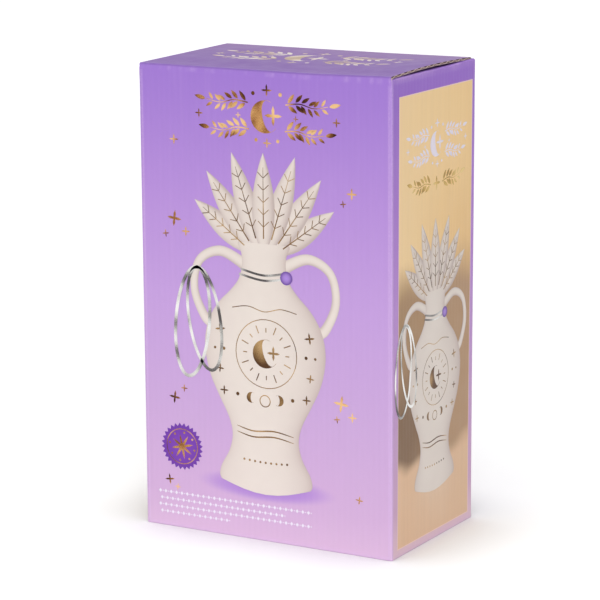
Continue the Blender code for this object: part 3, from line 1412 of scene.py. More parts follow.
class Graph(Nodes):
    """A material's node tree round one Principled shader."""

    def __init__(self, name: str) -> None:
        """Start a material of that name."""
        self.material = bpy.data.materials.new(name)
        self.material.use_nodes = True
        super().__init__(self.material.node_tree)
        self.shader = self.tree.nodes["Principled BSDF"]

    def flat(self, name: str = FLAT_MAP) -> tuple[Socket, Socket]:
        """The two coordinates of a UV map."""
        parts = self.node("SeparateXYZ", self.node("UVMap", uv_map=name).outputs[0])
        return parts.outputs[0], parts.outputs[1]

    def vector(self, x: object, y: object, z: object = 0.0) -> Socket:
        """A vector of three values."""
        return self.node("CombineXYZ", x, y, z).outputs[0]

    def noise(
        self, vector: object, scale: float, detail: float = 2.0, rough: float = 0.5
    ) -> Socket:
        """Soft noise about one half."""
        made = self.node("TexNoise")
        self.join(vector, made.inputs["Vector"])
        made.inputs["Scale"].default_value = scale
        made.inputs["Detail"].default_value = detail
        made.inputs["Roughness"].default_value = rough
        return made.outputs[0]

    def streaks(self, s: Socket, t: Socket) -> Socket:
        """Noise drawn out into upright streaks."""
        return self.noise(self.vector(self.times(s, 260.0), self.times(t, 9.0)), 1.0, 4.0, 0.6)

    def patchy(self, s: Socket, t: Socket, low: float, high: float) -> Socket:
        """A roughness that goes from low to high in broad patches."""
        return self.remap(self.noise(self.vector(s, t), 90.0, 3.0), 0.3, 0.7, low, high)

    def ramp(self, value: object, stops: Sequence[Stop]) -> Socket:
        """The colour at a value, between sRGB stops.

        Args:
            value: Where the ramp is read.
            stops: Places and sRGB colours.

        Returns:
            The colour.
        """
        made = self.node("ValToRGB", value)
        bar = made.color_ramp.elements
        while len(bar) < len(stops):
            bar.new(0.5)
        for element, (place, colour) in zip(bar, stops):
            element.position = place
            element.color = linear(colour)
        return made.outputs[0]

    def mix(self, factor: object, first: object, second: object, blend: str = "MIX") -> Socket:
        """A mix of two colours, each a socket or an sRGB colour."""
        made = self.node("Mix", factor, data_type="RGBA", blend_type=blend)
        for value, socket in ((first, made.inputs[6]), (second, made.inputs[7])):
            self.join(linear(value) if isinstance(value, tuple) else value, socket)
        return made.outputs[2]

    def bump(self, height: object, distance: float) -> None:
        """Raise the shader's surface by a height field."""
        made = self.node("Bump")
        made.inputs["Strength"].default_value = 1.0
        made.inputs["Distance"].default_value = distance
        self.join(height, made.inputs["Height"])
        self.join(made.outputs[0], self.shader.inputs["Normal"])

    def finish(
        self, colour: object, roughness: object, metallic: float = 0.0, specular: float = 0.5
    ) -> Material:
        """Set the shader's colour, roughness, metal and specular level, and return the material."""
        base = linear(colour) if isinstance(colour, tuple) else colour
        self.join(base, self.shader.inputs["Base Color"])
        self.join(roughness, self.shader.inputs["Roughness"])
        self.shader.inputs["Specular IOR Level"].default_value = specular
        self.shader.inputs["Metallic"].default_value = metallic
        return self.material


@dataclass(frozen=True)
class LaminatedPrint:
    """Lilac print under a matt film, paler towards the base, with upright streaks over the flutes."""

    name: str = "lilac_print"
    reach: float = 0.36
    stops: tuple[Stop, ...] = (
        (-0.002, (221, 188, 219)), (0.021, (212, 177, 217)), (0.075, (204, 169, 219)),
        (0.128, (197, 160, 222)), (0.182, (183, 144, 218)), (0.235, (165, 126, 212)),
        # From 0.2515 on the stops are the lid's top: its print under a painted sheen of the film,
        # greyer and paler towards the back.
        (0.2497, (161, 122, 211)), (0.2515, (142, 106, 184)), (0.262, (134, 93, 178)),
        (0.300, (141, 105, 179)), (0.340, (152, 116, 178)),
    )
    # Scuffs with painted highlights along the folds.
    scuff_and_highlight_colour: Colour = (222, 190, 236)
    # crease is painted shade in the crease valleys and along the lid's front fold.
    crease: Colour = (118, 86, 160)
    bloom: Colour = (255, 214, 255)
    haze: Colour = (236, 214, 242)
    shadow: Colour = (172, 128, 214)
    # Painted light: the side panels' print is tinted by height to stand in for the duller sheen they
    # show beside the front.
    side_painted_sheen_tint: tuple[Stop, ...] = (
        (0.005, (255, 253, 236)), (0.030, (253, 246, 240)), (0.075, (251, 242, 244)),
        (0.130, (247, 234, 248)), (0.185, (243, 225, 250)), (0.245, (243, 227, 250)),
    )
    side_span: tuple[float, float] = (0.0757, 0.1657)
    # A painted lift of light at the foot of the side panels.
    side_foot_painted_light: Colour = (255, 226, 232)
    foot_shadow: tuple[float, float, float] = (0.0292, 0.044, 0.0085)
    flute: float = 0.0034
    roughness: float = 0.46

    def shares(self, stops: Sequence[Stop]) -> list[Stop]:
        """Stops along the sheet as shares of the whole ramp."""
        low = self.stops[0][0]
        return [((place - low) / (self.reach - low), colour) for place, colour in stops]

    def under_foot(self, graph: Graph, s: Socket, t: Socket) -> Socket:
        """The printed soft shadow under the picture's foot, from 0 to 1.

        Args:
            graph: The material under way.
            s: Flat coordinate across the sheet.
            t: Flat coordinate up the sheet.

        Returns:
            The amount.
        """
        middle, half_width, half_height = self.foot_shadow
        wide = graph.math("POWER", graph.times(graph.size(s), 1 / half_width), 2.0)
        high = graph.times(graph.size(graph.minus(t, middle)), 1 / half_height)
        high = graph.math("POWER", high, 2.0)
        return graph.remap(graph.plus(wide, high), 1.0, 0.15, soft=True)

    def colour(self, graph: Graph, s: Socket, t: Socket) -> Socket:
        """The print's colour with its fields and streaks, its scuffs, and painted light: highlights and
        shade on folds, a sheen tint and a lighter foot on the side panels.

        Args:
            graph: The material under way.
            s: Flat coordinate across the sheet.
            t: Flat coordinate up the sheet.

        Returns:
            The colour.
        """
        share = graph.remap(t, self.stops[0][0], self.reach)
        base = graph.ramp(share, self.shares(self.stops))
        streaks = graph.remap(graph.streaks(s, t), 0.3, 0.7, 0.0, 0.6)
        cloud = graph.remap(graph.noise(graph.vector(s, t), 22.0, 2.0), 0.3, 0.7, 0.0, 0.4)
        shade = graph.plus(streaks, cloud)
        base = graph.mix(graph.remap(shade, 0.0, 1.0, 0.0, 0.09), base, self.bloom, "MULTIPLY")
        base = graph.mix(graph.remap(shade, 0.5, 1.0, 0.0, 0.05), base, self.haze)
        base = graph.mix(graph.times(self.under_foot(graph, s, t), 0.8), base, self.shadow)
        # On the side panels: a painted sheen tint by height, and below, a painted lift of light at
        # their foot.
        near, far = self.side_span
        beside = graph.math("GREATER_THAN", graph.size(s), near)
        beside = graph.times(beside, graph.math("LESS_THAN", graph.size(s), far))
        tint = graph.ramp(share, self.shares(self.side_painted_sheen_tint))
        base = graph.mix(beside, base, graph.mix(1.0, base, tint, "MULTIPLY"))
        # A painted lift of light at the side panels' foot.
        foot = graph.times(beside, graph.remap(t, 0.026, 0.002, 0.0, 0.28, soft=True))
        base = graph.mix(foot, base, self.side_foot_painted_light)
        light, dark = graph.flat(WEAR_MAP)
        broken = graph.noise(graph.vector(s, t), 900.0, 3.0, 0.7)
        # The first amount is scuffs with painted highlights on the folds.
        scuff_and_highlight_amount = graph.times(light, graph.remap(broken, 0.35, 0.75, 0.22, 0.62))
        base = graph.mix(scuff_and_highlight_amount, base, self.scuff_and_highlight_colour)
        # The second amount is painted shade in crease valleys and along the lid's front fold.
        return graph.mix(graph.times(dark, 0.80), base, self.crease)

    def relief(self, graph: Graph, s: Socket, t: Socket) -> None:
        """Faint flutes under the liner and the film's fine grain."""
        wave = graph.math("SINE", graph.times(s, 2 * math.pi / self.flute))
        grain = graph.noise(graph.vector(s, t), 2600.0, 2.0)
        dents = graph.noise(graph.vector(graph.times(s, 3.0), t), 60.0, 3.0)
        height = graph.plus(graph.times(wave, 0.30), graph.times(grain, 0.22))
        graph.bump(graph.plus(height, graph.times(dents, 1.6)), 0.00006)

    def make(self) -> Material:
        """The finished material.

        Returns:
            The material.
        """
        graph = Graph(self.name)
        s, t = graph.flat()
        self.relief(graph, s, t)
        roughness = graph.patchy(s, t, self.roughness - 0.05, self.roughness + 0.06)
        return graph.finish(self.colour(graph, s, t), roughness, specular=0.35)


@dataclass(frozen=True)
class PictureFields:
    """Soft fields of tan, brown and sand on the side panels, inside a pale hairline.

    The field was printed a little askew: its foot lies nearer the front fold than its head.
    """

    name: str = "side_picture_print"
    box: tuple[float, float, float, float] = (-0.0382, 0.0429, 0.0042, 0.2398)
    skew: float = 0.0018
    offset: float = 0.0
    hairline: float = 0.0004
    wall: tuple[Colour, Colour] = ((254, 220, 167), (251, 213, 154))
    dusk: Colour = (243, 202, 143)
    brown: tuple[Colour, Colour] = ((172, 137, 100), (186, 150, 117))
    deep: Colour = (132, 102, 75)
    sand: tuple[Colour, Colour] = ((234, 195, 160), (231, 193, 158))
    sheen: Colour = (236, 210, 186)
    rim: Colour = (252, 218, 214)
    streak: Colour = (120, 90, 80)

    def make(self) -> Material:
        """The finished material.

        Returns:
            The material.
        """
        graph = Graph(self.name)
        s, t = graph.flat()
        low_y, high_y, low_t, high_t = self.box
        y = graph.minus(graph.size(s), self.offset)
        y = graph.plus(y, graph.remap(t, low_t, high_t, self.skew, 0.0))
        u = graph.remap(y, low_y, high_y)
        v = graph.remap(t, low_t, high_t)
        sway = graph.minus(graph.noise(graph.vector(y, t), 24.0, 1.5), 0.5)
        rise = graph.plus(v, graph.times(sway, 0.12))
        over = graph.plus(u, graph.times(sway, 0.5))
        tone = graph.mix(u, *self.wall)
        dim = graph.times(graph.remap(rise, 0.88, 0.62, soft=True), graph.remap(u, 0.15, 0.85))
        tone = graph.mix(dim, tone, self.dusk)
        tone = graph.mix(graph.remap(rise, 0.65, 0.53, soft=True), tone, graph.mix(u, *self.brown))
        near = graph.remap(over, 0.62, 0.12, soft=True)
        pit = graph.times(near, graph.remap(rise, 0.45, 0.27, soft=True))
        tone = graph.mix(pit, tone, self.deep)
        ground = graph.mix(u, *self.sand)
        middle = graph.remap(over, 0.15, 0.45, soft=True)
        glow = graph.times(middle, graph.remap(over, 0.85, 0.55, soft=True))
        glow = graph.times(glow, graph.remap(v, 0.0, 0.15, 0.1, 0.6))
        ground = graph.mix(glow, ground, self.sheen)
        tone = graph.mix(graph.remap(rise, 0.20, 0.16, soft=True), tone, ground)
        edge = graph.math("MINIMUM", graph.minus(y, low_y), graph.minus(high_y, y))
        edge = graph.math("MINIMUM", edge, graph.minus(t, low_t))
        edge = graph.math("MINIMUM", edge, graph.minus(high_t, t))
        rim = graph.remap(edge, self.hairline, self.hairline * 1.6, 0.75, 0.0)
        tone = graph.mix(rim, tone, self.rim)
        streaks = graph.remap(graph.streaks(s, t), 0.35, 0.7, 0.0, 0.05)
        tone = graph.mix(streaks, tone, self.streak)
        outside = LaminatedPrint()
        tone = graph.mix(
            graph.math("GREATER_THAN", edge, 0.0), outside.colour(graph, s, t), tone
        )
        outside.relief(graph, s, t)
        return graph.finish(tone, graph.patchy(s, t, 0.42, 0.52), specular=0.35)


@dataclass(frozen=True)
class RawEdge:
    """The cut edge of the board: pale paper, and the fluted core's hollows, browner paper under painted
    shade.
    """

    paper: Colour = (232, 212, 202)
    dark_paper: Colour = (176, 146, 134)
    low_paper: Colour = (250, 226, 212)
    # hollow is browner paper darkened by painted shade in the flutes' hollows.
    hollow: Colour = (86, 58, 58)
    liner: Colour = (212, 188, 202)
    dark_liner: Colour = (176, 150, 162)

    def make_core(self) -> Material:
        """The fluted core, with painted shade where the edge lies back.

        Returns:
            The material.
        """
        graph = Graph("fluted_core")
        s, t = graph.flat()
        depth, across = graph.flat(WEAR_MAP)
        mottle = graph.noise(graph.vector(s, t, across), 1500.0, 3.0, 0.7)
        paper = graph.mix(graph.remap(mottle, 0.3, 0.7, 0.0, 0.5), self.paper, self.dark_paper)
        # Painted shade in the hollows, over the browner paper there.
        tone = graph.mix(graph.remap(depth, 0.10, 0.75, 0.0, 1.0), paper, self.hollow)
        tone = graph.mix(graph.remap(across, 0.62, 0.88, 0.0, 0.60), tone, self.low_paper)
        graph.bump(mottle, 0.00012)
        return graph.finish(tone, 0.85)

    def make_liner(self) -> Material:
        """The liners' cut edges.

        Returns:
            The material.
        """
        graph = Graph("liner_edge")
        s, t = graph.flat()
        mottle = graph.noise(graph.vector(s, t), 1100.0, 3.0, 0.7)
        graph.bump(mottle, 0.00008)
        tone = graph.mix(graph.remap(mottle, 0.35, 0.65), self.liner, self.dark_liner)
        return graph.finish(tone, 0.8)


@dataclass(frozen=True)
class InnerLiner:
    """Unprinted greyish liner with paper fibres, and the flutes showing through as faint lines."""

    paper: Colour = (214, 205, 194)
    fleck: Colour = (168, 152, 136)
    valley: Colour = (150, 135, 120)
    pale: Colour = (240, 234, 226)
    flute: float = 0.0034

    def make(self) -> Material:
        """The finished material.

        Returns:
            The material.
        """
        graph = Graph("inner_liner")
        s, t = graph.flat()
        fibres = graph.noise(graph.vector(graph.times(s, 2.2), t), 1300.0, 3.0, 0.75)
        cloud = graph.noise(graph.vector(s, t), 45.0, 2.0)
        wave = graph.math("SINE", graph.times(s, 2 * math.pi / self.flute))
        tone = graph.mix(graph.remap(fibres, 0.55, 0.80, 0.0, 0.65), self.paper, self.fleck)
        tone = graph.mix(graph.remap(wave, -1.0, 1.0, 0.0, 0.09), tone, self.valley)
        tone = graph.mix(graph.remap(cloud, 0.35, 0.7, 0.0, 0.10), tone, self.pale)
        graph.bump(graph.plus(graph.times(wave, 0.5), graph.times(fibres, 0.4)), 0.00007)
        return graph.finish(tone, 0.82)


class Foil(Enum):
    """Shades of stamped foil, from the dark to the bright end of its painted reflection."""

    GOLD = ("gold_foil", ((70, 40, 24), (142, 92, 52), (206, 156, 98), (238, 196, 140)))
    PALE_GOLD = ("pale_gold_foil", ((196, 164, 132), (226, 200, 172), (240, 222, 204), (250, 238, 226)))
    BRONZE = ("bronze_line", ((88, 60, 40), (122, 92, 60), (150, 118, 78), (190, 156, 110)))
    OCHRE = ("ochre_foil", ((150, 116, 52), (178, 144, 76), (200, 166, 96), (222, 192, 130)))
    SILVER = ("silver_foil", ((92, 88, 88), (150, 147, 144), (206, 204, 200), (240, 239, 236)))

    def make(self) -> Material:
        """Foil that turns from dark to bright in broad patches of painted reflection, with fine grain.

        Returns:
            The material, made once.
        """
        name, reflection_shades = self.value
        if name in bpy.data.materials:
            return bpy.data.materials[name]
        graph = Graph(name)
        place = graph.node("UVMap", uv_map=FLAT_MAP).outputs[0]
        # Broad patches paint dark and bright reflections into the metal's colour.
        broad = graph.noise(place, 60.0, 1.0)
        fine = graph.noise(place, 1700.0, 3.0, 0.6)
        tone = graph.plus(broad, graph.times(graph.minus(fine, 0.5), 0.22))
        stops = tuple(zip((0.36, 0.44, 0.52, 0.64), reflection_shades))
        graph.bump(fine, 0.00002)
        return graph.finish(graph.ramp(tone, stops), graph.remap(fine, 0.3, 0.7, 0.26, 0.38), 0.9)


class Ink(Enum):
    """Plain printed colours of the ornaments, as the middle and the shaded rim."""

    IVORY = ("ivory_print", (234, 223, 214), (202, 185, 179))
    LEAF = ("ivory_leaf_print", (231, 219, 210), (195, 178, 172))
    VIOLET = ("violet_print", (122, 58, 178), (108, 46, 164))
    GEM = ("gem_print", (176, 140, 222), (112, 76, 160))
    WHITE = ("white_print", (240, 232, 246), (232, 222, 240))

    def make(self) -> Material:
        """Ink that darkens towards the rim, which a plate's second UV map gives as -1 to 1 across.

        Returns:
            The material, made once.
        """
        name, middle, rim = self.value
        if name in bpy.data.materials:
            return bpy.data.materials[name]
        graph = Graph(name)
        across = graph.flat(WEAR_MAP)[0]
        s, t = graph.flat()
        mottle = graph.noise(graph.vector(s, t), 70.0, 2.0)
        bend = graph.size(graph.plus(across, 0.12))
        tone = graph.mix(graph.remap(graph.math("POWER", bend, 2.4), 0.0, 1.0), middle, rim)
        tone = graph.mix(graph.remap(mottle, 0.3, 0.7, 0.0, 0.10), tone, rim)
        grain = graph.noise(graph.vector(s, t), 2600.0, 2.0)
        graph.bump(grain, 0.00002)
        return graph.finish(tone, graph.remap(mottle, 0.3, 0.7, 0.42, 0.50))


@dataclass
class Drawing:
    """A flat drawing made of points and faces, each point with its place across a stroke."""

    points: list[tuple[float, float]] = field(default_factory=list)
    across: list[tuple[float, float]] = field(default_factory=list)
    faces: list[list[int]] = field(default_factory=list)

    def shape(self, outline: Outline) -> None:
        """Add a closed outline as a fan of triangles round its middle, with its rim across at 1.

        Args:
            outline: Its points in order.
        """
        x = sum(p[0] for p in outline) / len(outline)
        z = sum(p[1] for p in outline) / len(outline)
        first = len(self.points)
        self.points += [(x, z), *outline]
        self.across += [(0.0, 0.5)] + [(1.0, 0.5)] * len(outline)
        count = len(outline)
        self.faces += [[first, first + 1 + i, first + 1 + (i + 1) % count] for i in range(count)]

    def bands(self, rows: Sequence[Outline], closed: bool = False) -> None:
        """Add rows of points, each joined to the one before, and the last to the first if closed.

        Args:
            rows: The rows, each from left to right.
            closed: Whether the last row meets the first.
        """
        first = len(self.points)
        wide, count = len(rows[0]), len(rows)
        for n, row in enumerate(rows):
            self.points += row
            self.across += [(2 * i / (wide - 1) - 1, n / (count - 1)) for i in range(wide)]
        for n in range(count if closed else count - 1):
            for i in range(wide - 1):
                a, b = first + n * wide + i, first + (n + 1) % count * wide + i
                self.faces.append([a, a + 1, b + 1, b])

    def stroke(
        self, path: Outline, width: float | Callable[[float], float], closed: bool = False
    ) -> None:
        """Add a line of that width along a path.

        Args:
            path: Its points.
            width: One width, or a function of the share of the path.
            closed: Whether its end meets its start.
        """
        count = len(path)
        rows = []
        for i, (x, z) in enumerate(path):
            before = path[i - 1] if i or closed else path[i]
            after = path[(i + 1) % count] if i < count - 1 or closed else path[i]
            run = Vector((after[0] - before[0], after[1] - before[1])).normalized()
            half = (width(i / (count - 1)) if callable(width) else width) / 2
            rows.append([(x - run.y * half, z + run.x * half), (x + run.y * half, z - run.x * half)])
        self.bands(rows, closed)

    def moved(
        self, x: float, z: float, turn: float = 0.0, scale: float = 1.0, flip: int = 1
    ) -> "Drawing":
        """A copy, scaled, mirrored where flip is -1, turned by degrees and then moved."""
        c, s = math.cos(math.radians(turn)) * scale, math.sin(math.radians(turn)) * scale
        points = [(x + flip * px * c - pz * s, z + flip * px * s + pz * c) for px, pz in self.points]
        faces = [face[::flip] for face in self.faces]
        return Drawing(points, list(self.across), faces)

    def add(self, *others: "Drawing") -> "Drawing":
        """Take in other drawings, and return this one."""
        for other in others:
            first = len(self.points)
            self.points += other.points
            self.across += other.across
            self.faces += [[first + i for i in face] for face in other.faces]
        return self


def curve(points: Outline, steps: int = 8) -> Outline:
    """A smooth path through points.

    Args:
        points: The points that it passes.
        steps: How many stretches it has between two of them.

    Returns:
        The path's points.
    """
    ends = [points[0], *points, points[-1]]
    path: Outline = []
    for i in range(1, len(ends) - 2):
        a, b, c, d = (Vector(p) for p in ends[i - 1:i + 3])
        for n in range(steps):
            u = n / steps
            square, cube = a * 2 - b * 5 + c * 4 - d, b * 3 - a - c * 3 + d
            path.append(tuple((b * 2 + (c - a) * u + square * u**2 + cube * u**3) / 2))
    return [*path, points[-1]]


def ring_path(
    x: float, z: float, wide: float, high: float, start: float = 0.0, end: float = 360.0
) -> Outline:
    """Points on an ellipse about (x, z) between two angles, with no double point on a whole one."""
    count = max(8, round(abs(end - start) / 9))
    whole = abs(end - start) >= 360
    angles = [math.radians(start + (end - start) * i / count) for i in range(count + (not whole))]
    return [(x + wide * math.cos(a), z + high * math.sin(a)) for a in angles]


def star(radius: float, waist: float = 0.20, points: int = 4) -> Drawing:
    """A star with hollow sides about (0, 0).

    Args:
        radius: Reach of its tips.
        waist: Reach between them, as a share of the tips'.
        points: Number of tips.

    Returns:
        The drawing.
    """
    made = Drawing()
    outline: Outline = []
    for n in range(points):
        tip = 2 * math.pi * n / points + math.pi / 2
        for share in (0.0, 0.18, 0.5, 0.82):
            reach = radius * ((1 - 2 * min(share, 1 - share)) ** 1.6 * (1 - waist) + waist)
            angle = tip + share * 2 * math.pi / points
            outline.append((reach * math.cos(angle), reach * math.sin(angle)))
    made.shape(outline)
    return made


def leaf(length: float, width: float) -> Drawing:
    """A pointed leaf from (0, 0) up to (0, length).

    Args:
        length: Its length.
        width: Its greatest width.

    Returns:
        The drawing.
    """
    rows = []
    for n in range(13):
        share = n / 12
        half = width / 2 * math.sin(math.pi * share**0.85) ** 0.9 + 0.00002
        rows.append([(half * a, share * length) for a in (-1.0, -0.5, 0.0, 0.5, 1.0)])
    made = Drawing()
    made.bands(rows)
    return made


def disc(x: float, z: float, radius: float) -> Drawing:
    """A round dot."""
    made = Drawing()
    made.shape(ring_path(x, z, radius, radius))
    return made


def crescent(radius: float, bite: float = 0.42) -> Drawing:
    """A moon sickle about (0, 0), open to the right.

    Args:
        radius: Its outer radius.
        bite: Depth of its hollow, as a share of the radius.

    Returns:
        The drawing.
    """
    rows = []
    for n in range(19):
        angle = math.radians(48 + 264 * n / 18)
        share = math.sin(math.pi * n / 18)
        outer = Vector((math.cos(angle), math.sin(angle))) * radius
        bulge = abs(math.cos(angle / 2 - math.pi / 2)) ** 1.2
        hollow = outer.x + share * radius * 2 * bite * bulge
        inner = Vector((hollow, outer.y * (1 - 0.10 * share)))
        rows.append([tuple(inner), tuple(outer)])
    made = Drawing()
    made.bands(rows)
    return made


def sprig(length: float, width: float, leaves: int) -> Drawing:
    """A waved stem to the right from (0, 0), with pointed leaves that stand off it on both sides.

    Args:
        length: Length of the stem.
        width: Scale of the leaves' width.
        leaves: Pairs of leaves.

    Returns:
        The drawing.
    """
    made = Drawing()
    places = ((0.0, 0.0), (0.30, 0.035), (0.60, -0.030), (0.90, 0.020))
    stem = curve([(x * length, z * length) for x, z in places])
    made.stroke(stem, lambda share: width * (0.30 - 0.18 * share))
    for n in range(leaves):
        at = round((len(stem) - 3) * (n + 0.5) / leaves)
        run = Vector(stem[at + 1]) - Vector(stem[at])
        turn = math.degrees(math.atan2(run.y, run.x))
        for side in (-1, 1):
            out = Vector((-run.y, run.x)).normalized() * side * width * 0.30
            size = 1.0 - 0.35 * n / leaves
            blade = leaf(2.4 * width * size, 0.84 * width * size)
            made.add(blade.moved(stem[at][0] + out.x, stem[at][1] + out.y, turn - 90 + side * 43))
    tip = leaf(2.6 * width, 0.9 * width).moved(0.93 * length, 0.022 * length, -78)
    return made.add(tip)


@dataclass
class Plates:
    """Thin plates of foil or ink laid on a panel.

    surface gives the panel's outer skin and normal at flat coordinates, body is what the plates ride
    on, origin is the panel's middle across, and clear is the gap under a plate.
    """

    surface: Callable[[float, float], Skin]
    body: str = "carton"
    slot: str = "printed_board"
    origin: float = 0.0
    thickness: float = 0.00002
    clear: float = 0.00001

    def lay(
        self, name: str, layers: Sequence[tuple[Drawing, float]], material: Material
    ) -> Object:
        """Make drawings into closed thin plates, all one piece.

        Args:
            name: The piece's name.
            layers: Each drawing, in flat coordinates from the panel's middle, and its height.
            material: The finish.

        Returns:
            The piece.
        """
        solid = bmesh.new()
        flat = solid.loops.layers.uv.new(FLAT_MAP)
        worn = solid.loops.layers.uv.new(WEAR_MAP)
        for drawing, lift in layers:
            self.extrude(solid, drawing, lift + self.clear, flat, worn)
        plate = made_solid(name, solid, [material])
        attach(plate, self.body)
        report(plate)
        return plate

    def extrude(
        self, solid: bmesh.types.BMesh, drawing: Drawing, lift: float, flat: object, worn: object
    ) -> None:
        """Add one drawing as a closed plate.

        Args:
            solid: The mesh under way.
            drawing: The shapes.
            lift: Height of the plate's foot over the skin.
            flat: Layer of flat coordinates.
            worn: Layer of the place across a stroke.
        """
        spots = [(self.origin + x, z) for x, z in drawing.points]
        skins = [self.surface(*spot) for spot in spots]
        base = [solid.verts.new(point + normal * lift) for point, normal in skins]
        top = [solid.verts.new(point + normal * (lift + self.thickness)) for point, normal in skins]

        def add(vertices: list[bmesh.types.BMVert], keys: Sequence[int]) -> None:
            """One face with its coordinates."""
            face = solid.faces.new(vertices)
            for loop, key in zip(face.loops, keys):
                loop[flat].uv = spots[key]
                loop[worn].uv = drawing.across[key]

        rims = {(a, b) for face in drawing.faces for a, b in zip(face, face[1:] + face[:1])}
        for face in drawing.faces:
            add([top[i] for i in face], face)
            add([base[i] for i in face[::-1]], face[::-1])
        for a, b in sorted(rims):
            if (b, a) not in rims:
                add([top[b], top[a], base[a], base[b]], (b, a, a, b))


@dataclass(frozen=True)
class VaseMotif:
    """An ivory vase of long leaves with gold stars and moons, the picture on the carton's panels.

    Heights and half widths are given about the foot's middle, in metres.
    """

    profile: tuple[tuple[float, float], ...] = (
        (0.000, 0.0300), (0.003, 0.0312), (0.009, 0.0296), (0.018, 0.0244), (0.028, 0.0222),
        (0.038, 0.0246), (0.050, 0.0310), (0.062, 0.0368), (0.074, 0.0398), (0.085, 0.0400),
        (0.096, 0.0370), (0.106, 0.0304), (0.114, 0.0222), (0.121, 0.0168), (0.129, 0.0146),
        (0.136, 0.0150), (0.141, 0.0172), (0.1425, 0.0168),
    )
    ear: tuple[tuple[float, float], ...] = (
        (0.0120, 0.1290), (0.0290, 0.1360), (0.0435, 0.1290), (0.0470, 0.1120), (0.0400, 0.0960),
        (0.0330, 0.0930),
    )
    sag: float = 0.0062
    mouth: float = 0.1400
    middle: float = 0.0780
    leaves: tuple[tuple[float, float, float], ...] = (
        (-54.0, 0.049, 0.0135), (54.0, 0.049, 0.0135), (-36.0, 0.057, 0.0140), (36.0, 0.057, 0.0140),
        (-18.0, 0.061, 0.0145), (18.0, 0.061, 0.0145), (0.0, 0.0590, 0.0150),
    )
    step: float = 0.00002

    def body(self) -> Drawing:
        """The vase's outline as rows across, round at the foot.

        Returns:
            The drawing.
        """
        made = Drawing()
        rows = []
        for z, half in curve(list(self.profile), 4):
            drop = self.sag * max(0.0, 1 - z / 0.024)
            shares = [math.sin(math.pi / 2 * a / 6) for a in range(-6, 7)]
            rows.append([(half * a, z - drop * math.cos(math.pi / 2 * a)) for a in shares])
        made.bands(rows)
        return made

    def handles(self) -> Drawing:
        """Two ears from the neck to the shoulder."""
        ear = Drawing()
        ear.stroke(curve(list(self.ear)), lambda share: 0.0074 - 0.0022 * math.sin(math.pi * share))
        return Drawing().add(ear, ear.moved(0, 0, flip=-1))

    def spray(self, index: int) -> Drawing:
        """One leaf of the spray."""
        turn, length, width = self.leaves[index]
        return self.at_mouth(leaf(length, width), turn)

    def at_mouth(self, drawing: Drawing, turn: float) -> Drawing:
        """A drawing stood in the vase's mouth, turned by degrees."""
        return drawing.moved(turn * -0.00012, self.mouth - 0.004, turn)

    def ribs(self) -> Drawing:
        """A fine line up the middle of each leaf, with short side veins.

        Returns:
            The drawing.
        """
        made = Drawing()
        for turn, length, width in self.leaves:
            vein = Drawing()
            spine = [(0.0, 0.16 * length), (0.0, 0.86 * length)]
            vein.stroke(spine, lambda share: 0.00075 * (1 - 0.7 * share))
            for n in range(5):
                z = length * (0.28 + 0.12 * n)
                for side in (-1, 1):
                    vein.stroke([(side * 0.0003, z), (side * width * 0.24, z + 0.0030)], 0.00042)
            made.add(self.at_mouth(vein, turn))
        return made

    def marks(self) -> Drawing:
        """Moons, stars, dots and arcs on the belly.

        Returns:
            The drawing.
        """
        made = Drawing()
        z = self.middle
        made.add(crescent(0.0085).moved(0.0005, z, 18), star(0.0044).moved(0.0058, z + 0.0008))
        for n in range(16):
            ray = Drawing()
            ray.stroke([(0.0128, 0.0), (0.0176 if n % 2 else 0.0154, 0.0)], 0.00062)
            made.add(ray.moved(0.001, z, 360 * n / 16))
        made.stroke(ring_path(0.001, z, 0.0203, 0.0203), 0.00048, closed=True)
        for n in range(-3, 4):
            at = (0.0092 * n, 0.0500 + 0.0012 * abs(n))
            if abs(n) == 3:
                made.add(star(0.0030).moved(*at))
            elif abs(n) == 2:
                made.add(disc(*at, 0.0011))
            elif abs(n) == 1:
                made.add(crescent(0.0032).moved(*at, 0 if n < 0 else 180))
            else:
                made.stroke(ring_path(*at, 0.0034, 0.0034), 0.0006, closed=True)
        for side in (-1, 1):
            made.add(star(0.0036).moved(side * 0.0298, 0.0900, 8))
            made.add(star(0.0028).moved(side * 0.0302, 0.0665, -6))
            made.add(disc(side * 0.0275, 0.0785, 0.0010), disc(side * 0.0335, 0.0785, 0.0008))
        top, dip = 0.1052, 0.1028
        shoulder = [(-0.0215, 0.1035), (-0.0110, top), (0.0, dip), (0.0110, top), (0.0215, 0.1035)]
        made.stroke(curve(shoulder), 0.0005)
        for z in (0.0300, 0.0335):
            wave = [(-0.0190, z), (-0.0080, z - 0.0022), (0.0060, z - 0.0010), (0.0190, z - 0.0030)]
            made.stroke(curve(wave), lambda share: 0.0009 * (0.35 + 0.65 * math.sin(math.pi * share)))
        for n in range(-4, 5):
            made.add(disc(0.0036 * n, 0.0140 - 0.0009 * math.cos(n / 3), 0.0007))
        return made

    def rings(self) -> Drawing:
        """Two slim bands round the neck, and two hoops that hang on the left ear."""
        made = Drawing()
        for z, half in ((0.1225, 0.0166), (0.1255, 0.0156)):
            made.stroke(curve([(-half, z + 0.0012), (0.0, z - 0.0014), (half, z + 0.0012)]), 0.0013)
        hoop = Drawing()
        hoop.stroke(ring_path(0.0, -0.0330, 0.0115, 0.0330), 0.0021, closed=True)
        return made.add(hoop.moved(-0.0452, 0.1250, -6), hoop.moved(-0.0452, 0.1250, 9, 0.93))

    def build(self, plates: Plates, prefix: str, foot: tuple[float, float], scale: float) -> None:
        """Lay the picture on a panel.

        Args:
            plates: The panel's layer of plates.
            prefix: Start of the pieces' names.
            foot: The foot's middle in flat coordinates from the panel's middle.
            scale: Its size, 1 for the one above.
        """
        x, z = foot

